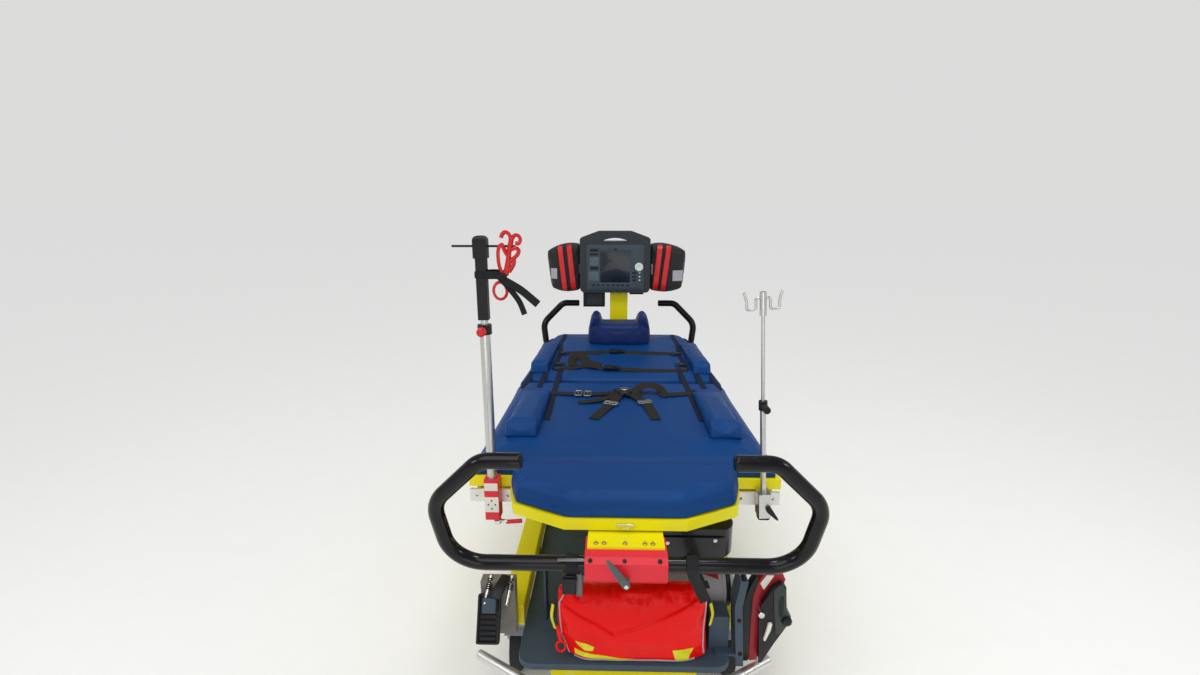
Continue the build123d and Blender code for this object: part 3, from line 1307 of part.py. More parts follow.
# Body's outline: out from the platform's edge, and height
BODY_OUTLINE = [
    (86, 272),
    (79, 374),
    (82, 423),
    (108, 472),
    (131, 490),
    (145, 478),
    (152, 402),
    (165, 386),
    (159, 361),
    (116, 305),
]
BODY_FRONT = 20
BODY_ROUND = 6
BODY_EDGE = 4
PUMP_X = (84, 141)
PUMP_Z = (262, 418)
PUMP_BACK_Y = -832
# Columns: out from the edge, height, radius, reach in front of the frame
UNIT_KNOBS = [(80, 396, 8, 26), (151, 377, 11, 27)]
with BuildPart() as unit_frame:
    with BuildSketch(front_plane(UNIT_FRAME_Y[1])):
        with BuildLine():
            arch = [(PLATFORM_HALF_WIDTH + out, z) for out, z in UNIT_ARCH]
            Polyline(*arch, close=True)
        make_face()
        fillet(vertices(), UNIT_ROUND)
        offset(amount=-UNIT_BAND, mode=Mode.SUBTRACT)
    extrude(amount=UNIT_FRAME_Y[1] - UNIT_FRAME_Y[0])
unit_frame.part.label = "unit_frame"
export_step(unit_frame.part, "parts/unit_frame.step")

with BuildPart() as unit_body:
    with BuildSketch(front_plane(UNIT_FRAME_Y[0])):
        with BuildLine():
            body = [(PLATFORM_HALF_WIDTH + out, z) for out, z in BODY_OUTLINE]
            Polyline(*body, close=True)
        make_face()
        fillet(vertices(), BODY_ROUND)
    extrude(amount=BODY_FRONT)
    fillet(unit_body.faces().sort_by(Axis.Y)[0].edges(), BODY_EDGE)
    # Pump's case in the frame's window
    with BuildSketch(front_plane(PUMP_BACK_Y, PLATFORM_HALF_WIDTH)):
        with Locations((sum(PUMP_X) / 2, sum(PUMP_Z) / 2)):
            Rectangle(PUMP_X[1] - PUMP_X[0], PUMP_Z[1] - PUMP_Z[0])
    extrude(amount=PUMP_BACK_Y - UNIT_FRAME_Y[0])
    for out, height, radius, reach in UNIT_KNOBS:
        with BuildSketch(front_plane(UNIT_FRAME_Y[0], PLATFORM_HALF_WIDTH + out, height)):
            Circle(radius)
        extrude(amount=reach)
unit_body.part.label = "unit_body"
export_step(unit_body.part, "parts/unit_body.step")

# Foot pedals on housings at the ends of the side rails, at opposite corners
PEDAL_HOUSING_X = (322, 424)
PEDAL_HOUSING_DEPTH = 36
PEDAL_HOUSING_HEIGHT = 180
PEDAL_X = 396
PEDAL_WIDTH = 68
PEDAL_LENGTH = 126
PEDAL_THICKNESS = 10
PEDAL_CORNER = 8
PEDAL_SLOPE = 65
# Middle of the pad's face: out from the rail's end and up from its bottom
PEDAL_MIDDLE = (85, 88)
PEDAL_RIBS = 5
PEDAL_RIB_PITCH = 20
PEDAL_RIB_WIDTH = 7
PEDAL_RIB_HEIGHT = 3
PEDAL_RIB_MARGIN = 12
ARM_BLADE_WIDTH = 36
ARM_PROFILE = [(36, 104), (36, 140), (52, 140), (84, 76), (76, 70)]
PIVOT = (51, 126)
PIVOT_RADIUS = 12
PIVOT_LENGTH = 54
HEAD_PLATE_X = (352, 436)
HEAD_PLATE_REACH = 82
HEAD_PLATE_THICKNESS = 8
PEDAL_ROD_SPACING = 56
PEDAL_ROD_OUT = 70
PEDAL_ROD_RADIUS = 5
PEDAL_ROD_BOTTOM = 98
PEDAL_ROD_LENGTH = 100
with BuildPart() as pedal_housings:
    for turn in (1, -1):
        housing_mid = turn * -sum(PEDAL_HOUSING_X) / 2
        housing_y = turn * -(RAIL_HALF_LENGTH + PEDAL_HOUSING_DEPTH / 2)
        with BuildSketch(Plane((housing_mid, housing_y, RAIL_BOTTOM))):
            housing_width = PEDAL_HOUSING_X[1] - PEDAL_HOUSING_X[0]
            Rectangle(housing_width, PEDAL_HOUSING_DEPTH)
        extrude(amount=PEDAL_HOUSING_HEIGHT)
pedal_housings.part.label = "pedal_housings"
export_step(pedal_housings.part, "parts/pedal_housings.step")

with BuildPart() as foot_pedals:
    for turn in (1, -1):
        pedal_x = turn * -PEDAL_X
        pad_out, pad_up = PEDAL_MIDDLE
        pad_middle = (pedal_x, turn * -(RAIL_HALF_LENGTH + pad_out), RAIL_BOTTOM + pad_up)
        slope = radians(PEDAL_SLOPE)
        pad_plane = Plane(
            origin=pad_middle, x_dir=(1, 0, 0), z_dir=(0, turn * -sin(slope), cos(slope))
        )
        with BuildSketch(pad_plane):
            RectangleRounded(PEDAL_WIDTH, PEDAL_LENGTH, PEDAL_CORNER)
        extrude(amount=-PEDAL_THICKNESS)
        with BuildSketch(pad_plane):
            with GridLocations(1, PEDAL_RIB_PITCH, 1, PEDAL_RIBS):
                Rectangle(PEDAL_WIDTH - PEDAL_RIB_MARGIN, PEDAL_RIB_WIDTH)
        extrude(amount=PEDAL_RIB_HEIGHT)
        with BuildSketch(side_plane(pedal_x - ARM_BLADE_WIDTH / 2)):
            with BuildLine():
                profile = [
                    (turn * -(RAIL_HALF_LENGTH + out), RAIL_BOTTOM + up)
                    for out, up in ARM_PROFILE
                ]
                Polyline(*profile, close=True)
            make_face()
        extrude(amount=ARM_BLADE_WIDTH)
        pivot_out, pivot_up = PIVOT
        pivot_y = turn * -(RAIL_HALF_LENGTH + pivot_out)
        with BuildSketch(side_plane(pedal_x - PIVOT_LENGTH / 2, pivot_y, RAIL_BOTTOM + pivot_up)):
            Circle(PIVOT_RADIUS)
        extrude(amount=PIVOT_LENGTH)
        # Head plate on the housing, with the two rods that guide the pedal
        head_x = turn * -sum(HEAD_PLATE_X) / 2
        head_y = turn * -(RAIL_HALF_LENGTH + HEAD_PLATE_REACH / 2)
        with BuildSketch(Plane((head_x, head_y, RAIL_BOTTOM + PEDAL_HOUSING_HEIGHT))):
            Rectangle(HEAD_PLATE_X[1] - HEAD_PLATE_X[0], HEAD_PLATE_REACH)
        extrude(amount=HEAD_PLATE_THICKNESS)
        rod_y = turn * -(RAIL_HALF_LENGTH + PEDAL_ROD_OUT)
        with BuildSketch(Plane((head_x, rod_y, RAIL_BOTTOM + PEDAL_ROD_BOTTOM))):
            with GridLocations(PEDAL_ROD_SPACING, 1, 2, 1):
                Circle(PEDAL_ROD_RADIUS)
        extrude(amount=PEDAL_ROD_LENGTH)
foot_pedals.part.label = "foot_pedals"
export_step(foot_pedals.part, "parts/foot_pedals.step")
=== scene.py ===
"""Looks of an intensive care stretcher trolley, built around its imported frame.

Everything is in metres in the trolley's own frame: X is its right, Y runs from the foot end to
the head end, Z is up, and the origin is on the floor below its middle. Only the tables of points
inside mm() are in millimetres.
"""

import logging
from dataclasses import dataclass, field
from enum import Enum
from functools import partial
from math import cos, exp, pi, radians, sin, tan
from typing import Callable, ClassVar, Sequence

import bmesh
import bpy
from mathutils import Matrix, Vector, noise
from mathutils.bvhtree import BVHTree


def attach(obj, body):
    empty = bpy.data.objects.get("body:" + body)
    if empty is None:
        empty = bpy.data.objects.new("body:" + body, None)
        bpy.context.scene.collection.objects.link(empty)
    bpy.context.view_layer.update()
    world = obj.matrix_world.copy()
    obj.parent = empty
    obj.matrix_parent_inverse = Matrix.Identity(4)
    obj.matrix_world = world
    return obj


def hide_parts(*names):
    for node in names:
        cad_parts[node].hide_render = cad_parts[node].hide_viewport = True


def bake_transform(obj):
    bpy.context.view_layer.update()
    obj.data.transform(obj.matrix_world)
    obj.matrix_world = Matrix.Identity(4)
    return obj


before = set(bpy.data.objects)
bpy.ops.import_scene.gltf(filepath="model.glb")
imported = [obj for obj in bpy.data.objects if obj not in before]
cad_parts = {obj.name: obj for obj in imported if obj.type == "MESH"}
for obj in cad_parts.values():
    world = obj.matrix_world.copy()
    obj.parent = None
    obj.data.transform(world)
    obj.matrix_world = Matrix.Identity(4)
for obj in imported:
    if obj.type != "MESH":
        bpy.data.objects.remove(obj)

LOG = logging.getLogger("stretcher")
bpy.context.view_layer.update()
SMOOTH_ANGLE = radians(34)
BEVEL_ANGLE = radians(28)
RIM_STEPS = 4
MERGE = 2e-6
LOOSE_MERGE = 1e-5
POINT_RADIUS = 1e-5
LOOK_HEIGHT = 1.2
BARE_HEIGHT = 0.72
LAY_SPACING = 0.012
CLOTH_FRAMES = 20
PATCH_STEPS = 10
PATCH_FRONT = 0.0018
PATCH_BACK = -0.001

Point = Sequence[float]
Piece = bpy.types.Object
Socket = bpy.types.NodeSocket
Material = bpy.types.Material
Colour = tuple[float, float, float]
SocketInput = "Value | float | Sequence[float]"


class Axis(Enum):
    """A direction that a grain or a weave can run in."""

    X = (1.0, 0.0, 0.0)
    Y = (0.0, 1.0, 0.0)
    Z = (0.0, 0.0, 1.0)


class Value:
    """A socket of a shader tree, used like a number in expressions."""

    def __init__(self, graph: "Graph", socket: Socket) -> None:
        """Wraps one output socket.

        Args:
            graph: The tree that the socket belongs to.
            socket: The output socket.
        """
        self.graph = graph
        self.socket = socket

    def maths(self, operation: str, other: "Value | float", swapped: bool = False) -> "Value":
        """Adds one Math node.

        Args:
            operation: Blender's name of the operation.
            other: The second operand.
            swapped: Whether the other operand comes first.

        Returns:
            The node's result.
        """
        pair = (other, self) if swapped else (self, other)
        node = self.graph.node("ShaderNodeMath", {0: pair[0], 1: pair[1]}, operation=operation)
        return Value(self.graph, node.outputs[0])

    def __add__(self, other: "Value | float") -> "Value":
        """This value plus another."""
        return self.maths("ADD", other)

    __radd__ = __add__

    def __sub__(self, other: "Value | float") -> "Value":
        """This value less another."""
        return self.maths("SUBTRACT", other)

    def __rsub__(self, other: float) -> "Value":
        """A number less this value."""
        return self.maths("SUBTRACT", other, swapped=True)

    def __mul__(self, other: "Value | float") -> "Value":
        """This value times another."""
        return self.maths("MULTIPLY", other)

    def sine(self) -> "Value":
        """The sine of this value."""
        return self.maths("SINE", 0.0)

    def absolute(self) -> "Value":
        """This value without its sign."""
        return self.maths("ABSOLUTE", 0.0)

    def step(self, low: float, high: float) -> "Value":
        """A smooth step from 0 at low to 1 at high.

        Args:
            low: The value at which the step starts.
            high: The value at which the step ends.

        Returns:
            The step, from 0 to 1.
        """
        node = self.graph.node(
            "ShaderNodeMapRange", {"Value": self, "From Min": low, "From Max": high}, interpolation_type="SMOOTHSTEP",
        )
        return Value(self.graph, node.outputs["Result"])


class Graph:
    """The shader tree of one material."""

    def __init__(self, name: str) -> None:
        """Starts an empty tree.

        Args:
            name: The material's name.
        """
        self.material = bpy.data.materials.new(name)
        self.material.use_nodes = True
        self.tree = self.material.node_tree
        self.tree.nodes.clear()

    def node(
        self, kind: str, sockets: dict[str | int, SocketInput] | None = None, **settings: str | bool | float,
    ) -> bpy.types.Node:
        """Adds a node: its settings first, then its sockets.

        Args:
            kind: Blender's type of the node.
            sockets: The values or links of its sockets, by name or number.
            settings: The node's own settings.

        Returns:
            The node.
        """
        node = self.tree.nodes.new(kind)
        for key, value in settings.items():
            setattr(node, key, value)
        for key, value in (sockets or {}).items():
            if isinstance(value, Value):
                self.tree.links.new(value.socket, node.inputs[key])
            else:
                node.inputs[key].default_value = value
        return node

    def place(self, scale: Point = (1.0, 1.0, 1.0)) -> Value:
        """Object coordinates, stretched by a factor along each axis."""
        where = Value(self, self.node("ShaderNodeTexCoord").outputs["Object"])
        return Value(self, self.node("ShaderNodeMapping", {"Vector": where, "Scale": scale}).outputs["Vector"])

    def surface(self) -> Value:
        """The piece's own UV map, in metres."""
        return Value(self, self.node("ShaderNodeUVMap", uv_map="UVMap").outputs["UV"])

    def parts(self, vector: Value) -> tuple[Value, Value, Value]:
        """The three numbers of a vector."""
        node = self.node("ShaderNodeSeparateXYZ", {0: vector})
        return tuple(Value(self, output) for output in node.outputs[:3])

    def noise(self, vector: Value, scale: float, detail: float = 2.0) -> Value:
        """Smooth noise from 0 to 1.

        Args:
            vector: The coordinates.
            scale: Waves per metre.
            detail: How many finer layers are added.

        Returns:
            The noise.
        """
        node = self.node("ShaderNodeTexNoise", {"Vector": vector, "Scale": scale, "Detail": detail})
        return Value(self, node.outputs[0])

    def cells(self, vector: Value, scale: float, feature: str = "F1") -> Value:
        """Distances in a field of cells.

        Args:
            vector: The coordinates.
            scale: Cells per metre.
            feature: Which distance is measured.

        Returns:
            The distance.
        """
        node = self.node("ShaderNodeTexVoronoi", {"Vector": vector, "Scale": scale}, feature=feature)
        return Value(self, node.outputs["Distance"])

    def blend(self, mask: Value | float, low: Value | Colour, high: Value | Colour) -> Value:
        """A mix of two colours.

        Args:
            mask: 0 gives the first colour, 1 the second.
            low: The first colour.
            high: The second colour.

        Returns:
            The mixed colour.
        """
        colours = [colour if isinstance(colour, Value) else (*colour, 1.0) for colour in (low, high)]
        node = self.node("ShaderNodeMix", {0: mask, 6: colours[0], 7: colours[1]}, data_type="RGBA")
        return Value(self, node.outputs[2])

    def relief(self, height: Value, depth: float, normal: "Value | None" = None) -> Value:
        """A bumped normal.

        Args:
            height: The height, from 0 to 1.
            depth: How far 1 stands above 0, in metres.
            normal: A normal to bump further.

        Returns:
            The normal.
        """
        sockets: dict[str | int, SocketInput] = {"Height": height, "Distance": depth}
        if normal is not None:
            sockets["Normal"] = normal
        return Value(self, self.node("ShaderNodeBump", sockets).outputs["Normal"])

    def close(
        self, colour: Value | Colour, roughness: Value | float, normal: Value | None = None,
        metallic: Value | float = 0.0, **constants: float,
    ) -> Material:
        """Ends the tree in a Principled shader.

        Args:
            colour: Base colour.
            roughness: Roughness.
            normal: Bumped normal.
            metallic: 1 for bare metal.
            constants: Other sockets, with underscores for the spaces in their names.

        Returns:
            The material.
        """
        sockets: dict[str | int, SocketInput] = {
            "Base Color": colour if isinstance(colour, Value) else (*colour, 1.0), "Roughness": roughness,
            "Metallic": metallic,
        }
        if normal is not None:
            sockets["Normal"] = normal
        for key, value in constants.items():
            sockets[key.replace("_", " ").title().replace("Ior", "IOR")] = value
        shader = self.node("ShaderNodeBsdfPrincipled", sockets)
        self.node("ShaderNodeOutputMaterial", {"Surface": Value(self, shader.outputs[0])})
        return self.material


@dataclass(frozen=True)
class Finish:
    """The finish of a surface. Each kind draws its own shader tree."""

    name: str
    colour: Colour
    made: ClassVar[dict[str, Material]] = {}

    def draw(self, graph: Graph) -> Material:
        """Draws the shader tree."""
        return graph.close(self.colour, 0.5)

    def material(self) -> Material:
        """The material, drawn once."""
        if self.name not in Finish.made:
            Finish.made[self.name] = self.draw(Graph(self.name))
        return Finish.made[self.name]

    def shade(self, factor: float) -> Colour:
        """The colour, lighter or darker by a factor."""
        return tuple(min(1.0, channel * factor) for channel in self.colour)


@dataclass(frozen=True)
class Paint(Finish):
    """Powder coat or gloss paint, with a faint orange peel and handling marks."""

    roughness: float = 0.35
    peel: float = 420.0
    peel_depth: float = 0.00006
    coat: float = 0.0
    worn: float = 0.12
    specular: float = 0.35

    def draw(self, graph: Graph) -> Material:
        """Draws the peel, the marks and the dust."""
        where = graph.place()
        peel = graph.noise(where, self.peel)
        marks = graph.noise(graph.place((1.0, 1.0, 3.0)), 34.0, 6.0)
        dust = graph.noise(where, 7.0, 5.0).step(0.42, 0.75)
        colour = graph.blend(dust * self.worn, self.colour, self.shade(0.72))
        roughness = self.roughness + marks.step(0.5, 0.7) * 0.12 + dust * 0.06
        relief = graph.relief(peel, self.peel_depth)
        return graph.close(colour, roughness, relief, coat_weight=self.coat, specular_ior_level=self.specular)


@dataclass(frozen=True)
class Metal(Finish):
    """Bare metal, brushed along one axis."""

    roughness: float = 0.28
    grain: Axis = Axis.X
    depth: float = 0.00003

    def draw(self, graph: Graph) -> Material:
        """Draws the brush marks as noise that is stretched along the grain."""
        scale = [2200.0 if part == 0.0 else 24.0 for part in self.grain.value]
        brushed = graph.noise(graph.place(scale), 1.0, 3.0)
        smudge = graph.noise(graph.place(), 16.0, 4.0)
        colour = graph.blend(brushed * 0.5, self.colour, self.shade(0.78))
        roughness = self.roughness + brushed * 0.12 + smudge.step(0.45, 0.7) * 0.1
        return graph.close(colour, roughness, graph.relief(brushed, self.depth), metallic=1.0)


@dataclass(frozen=True)
class Blasted(Finish):
    """Fine blasted and anodised aluminium."""

    roughness: float = 0.42

    def draw(self, graph: Graph) -> Material:
        """Draws the fine blasted grain with a few darker smudges."""
        where = graph.place()
        grain = graph.noise(where, 2600.0, 1.0)
        smudge = graph.noise(where, 19.0, 5.0).step(0.5, 0.72)
        colour = graph.blend(smudge * 0.3, self.colour, self.shade(0.7))
        roughness = self.roughness + grain * 0.1 + smudge * 0.08
        return graph.close(colour, roughness, graph.relief(grain, 0.00002), metallic=0.85)


@dataclass(frozen=True)
class Moulding(Finish):
    """Moulded plastic or rubber with an eroded grain."""

    roughness: float = 0.5
    grain: float = 900.0
    depth: float = 0.00006
    coat: float = 0.0
    specular: float = 0.3

    def draw(self, graph: Graph) -> Material:
        """Draws the grain, and the paler dust that rubs on it."""
        where = graph.place()
        grain = graph.cells(where, self.grain).step(0.05, 0.6)
        rubbed = graph.noise(where, 28.0, 6.0).step(0.52, 0.78)
        colour = graph.blend(rubbed * 0.22, self.colour, self.shade(1.7))
        roughness = self.roughness + rubbed * 0.14 - grain * 0.05
        relief = graph.relief(grain, self.depth)
        return graph.close(colour, roughness, relief, coat_weight=self.coat, specular_ior_level=self.specular)


@dataclass(frozen=True)
class Vinyl(Finish):
    """Wipe-clean upholstery vinyl: fine leather grain, soft creases and handling sheen."""

    grain: float = 700.0
    depth: float = 0.00012
    crease: float = 0.0012

    def draw(self, graph: Graph) -> Material:
        """Draws the grain over the creases, and the tone that shifts with use."""
        where = graph.place()
        pebble = graph.cells(where, self.grain, "DISTANCE_TO_EDGE").step(0.0, 0.28)
        bent = graph.noise(graph.place((1.0, 1.7, 1.0)), 9.0, 3.0)
        tone = graph.noise(where, 3.4, 4.0).step(0.3, 0.75)
        worn = graph.noise(where, 46.0, 5.0).step(0.55, 0.8)
        colour = graph.blend(tone * 0.5, self.colour, self.shade(1.25))
        colour = graph.blend(worn * 0.08, colour, self.shade(1.7))
        roughness = 0.36 + tone * 0.1 + worn * 0.1 + pebble * 0.04
        soft = graph.relief(bent, self.crease)
        return graph.close(colour, roughness, graph.relief(pebble, self.depth, soft), specular_ior_level=0.16)


@dataclass(frozen=True)
class Webbing(Finish):
    """Woven strap: ribs across, fine yarns along, with a firm selvedge. It reads the UV map in metres."""

    ribs: float = 560.0
    yarns: float = 900.0

    def draw(self, graph: Graph) -> Material:
        """Draws the weave along the strap's own length."""
        along, across, _ = graph.parts(graph.surface())
        yarn = (across * (self.yarns * pi)).sine()
        lift = yarn * 0.5 + 0.5
        rib = ((along + lift * (0.35 / self.ribs)) * (self.ribs * pi)).sine().absolute()
        weave = rib * 0.65 + lift * 0.35
        fluff = graph.noise(graph.place(), 60.0, 5.0)
        colour = graph.blend(weave * 0.6 + fluff * 0.3, self.shade(0.45), self.shade(1.5))
        return graph.close(colour, 0.8 - weave * 0.12, graph.relief(weave, 0.00035), specular_ior_level=0.3)


@dataclass(frozen=True)
class Cloth(Finish):
    """Coated nylon: a plain weave in the piece's own frame."""

    threads: float = 900.0
    roughness: float = 0.62

    def draw(self, graph: Graph) -> Material:
        """Draws the crossing threads on all three planes, and soft folds."""
        x, y, z = graph.parts(graph.place((self.threads,) * 3))
        weave = (x * pi).sine() * (z * pi).sine() + (y * pi).sine() * 0.5
        folds = graph.noise(graph.place(), 22.0, 4.0)
        scuff = graph.noise(graph.place(), 70.0, 6.0).step(0.5, 0.8)
        colour = graph.blend(scuff * 0.4, self.colour, self.shade(2.0))
        normal = graph.relief(weave * 0.5 + 0.5, 0.00012, graph.relief(folds, 0.003))
        return graph.close(colour, self.roughness - folds * 0.1, normal, sheen_weight=0.1, specular_ior_level=0.3)


@dataclass(frozen=True)
class Tarpaulin(Finish):
    """Glossy coated tarpaulin: the base weave shows faintly through the coat."""

    threads: float = 520.0

    def draw(self, graph: Graph) -> Material:
        """Draws the weave, long buckles in the coat and a little grime."""
        x, y, z = graph.parts(graph.place((self.threads,) * 3))
        weave = (x * pi).sine().absolute() * (z * pi).sine().absolute()
        buckle = graph.noise(graph.place((1.0, 1.0, 1.6)), 16.0, 3.0)
        grime = graph.noise(graph.place(), 11.0, 6.0).step(0.5, 0.8)
        colour = graph.blend(grime * 0.25, self.colour, self.shade(0.62))
        normal = graph.relief(weave, 0.00005, graph.relief(buckle, 0.004))
        return graph.close(
            colour, 0.26 + grime * 0.15, normal, coat_weight=0.1, coat_roughness=0.08, specular_ior_level=0.12,
        )


@dataclass(frozen=True)
class Reflector(Finish):
    """Reflective tape with a fine honeycomb."""

    cell: float = 330.0

    def draw(self, graph: Graph) -> Material:
        """Draws the honeycomb's walls and the crinkle of the tape."""
        where = graph.place()
        walls = graph.cells(where, self.cell, "DISTANCE_TO_EDGE").step(0.02, 0.12)
        crinkle = graph.noise(where, 90.0, 4.0)
        colour = graph.blend(walls * (0.45 + crinkle * 0.6), self.shade(0.6), self.shade(1.15))
        return graph.close(colour, 0.25 + crinkle * 0.2, graph.relief(crinkle, 0.0012))


@dataclass(frozen=True)
class Glass(Finish):
    """A dark screen behind clear glass, with finger marks and a painted reflection in soft lighter patches."""

    def draw(self, graph: Graph) -> Material:
        """Draws the dark panel with its painted reflection, and the marks on the glass."""
        where = graph.place()
        marks = graph.noise(where, 40.0, 6.0).step(0.55, 0.8)
        # Painted reflection: soft patches that lighten the dark panel's colour up to three times.
        painted_reflection = graph.noise(where, 6.0, 2.0).step(0.35, 0.8)
        colour = graph.blend(painted_reflection, self.colour, self.shade(3.0))
        return graph.close(colour, 0.2 + marks * 0.2, coat_weight=0.3, coat_roughness=0.05, specular_ior_level=0.3)


def mm(*points: Point) -> tuple[Point, ...]:
    """A table of points in metres from one in millimetres."""
    return tuple(tuple(part / 1000 for part in point) for point in points)


def axes(origin: Point, x_axis: Point, z_axis: Point) -> Matrix:
    """A frame of reference.

    Args:
        origin: Where it stands.
        x_axis: The direction of its X.
        z_axis: The direction of its Z.

    Returns:
        The frame's matrix.
    """
    up = Vector(z_axis).normalized()
    right = (Vector(x_axis) - up * Vector(x_axis).dot(up)).normalized()
    turned = Matrix((right, up.cross(right), up)).transposed().to_4x4()
    return Matrix.Translation(Vector(origin)) @ turned


def upright(x: float, y: float, z: float) -> Matrix:
    """A frame seen from the foot end: its x is the trolley's X, its y is up, its z comes towards the viewer."""
    return axes((x, y, z), (1, 0, 0), (0, -1, 0))


def level(x: float, y: float, z: float) -> Matrix:
    """A frame that lies flat: its x and y are the trolley's own, its z is up."""
    return Matrix.Translation((x, y, z))


def rounded(corners: Sequence[Point], radius: float, steps: int = 5) -> list[Vector]:
    """A closed outline with its corners rounded.

    Args:
        corners: The corners in the plane.
        radius: Radius of each corner, cut down where two sides are too short.
        steps: Segments of each arc.

    Returns:
        The outline's points.
    """
    points = [Vector(corner[:2]) for corner in corners]
    outline: list[Vector] = []
    for index, corner in enumerate(points):
        before, after = points[index - 1] - corner, points[(index + 1) % len(points)] - corner
        half = before.angle(after) / 2
        reach = min(radius / tan(half), before.length * 0.49, after.length * 0.49)
        start = corner + before.normalized() * reach
        end = corner + after.normalized() * reach
        for step in range(steps + 1):
            share = step / steps
            outline.append(start * (1 - share) ** 2 + corner * (2 * share * (1 - share)) + end * share**2)
    return outline


def rectangle(width: float, height: float, radius: float = 0.0, steps: int = 5) -> list[Vector]:
    """A centred rectangle, its corners rounded if a radius is given."""
    x, y = width / 2, height / 2
    corners = [Vector((-x, -y)), Vector((x, -y)), Vector((x, y)), Vector((-x, y))]
    return rounded(corners, radius, steps) if radius else corners


def span(low: Point, high: Point) -> list[Point]:
    """The four corners between a lower left and an upper right one."""
    return [low, (high[0], low[1]), high, (low[0], high[1])]


def curve_through(points: Sequence[Point], per_span: int = 8) -> list[Vector]:
    """A smooth line through points.

    Args:
        points: The points, from end to end.
        per_span: Segments between two points.

    Returns:
        The points of the line.
    """
    knots = [Vector(point) for point in points]
    padded = [knots[0] * 2 - knots[1], *knots, knots[-1] * 2 - knots[-2]]
    line = [knots[0]]
    for index in range(len(knots) - 1):
        a, b, c, d = padded[index : index + 4]
        bend, twist = 2 * a - 5 * b + 4 * c - d, 3 * b - a - 3 * c + d
        for step in range(1, per_span + 1):
            t = step / per_span
            line.append(0.5 * (2 * b + (c - a) * t + bend * t * t + twist * t**3))
    return line


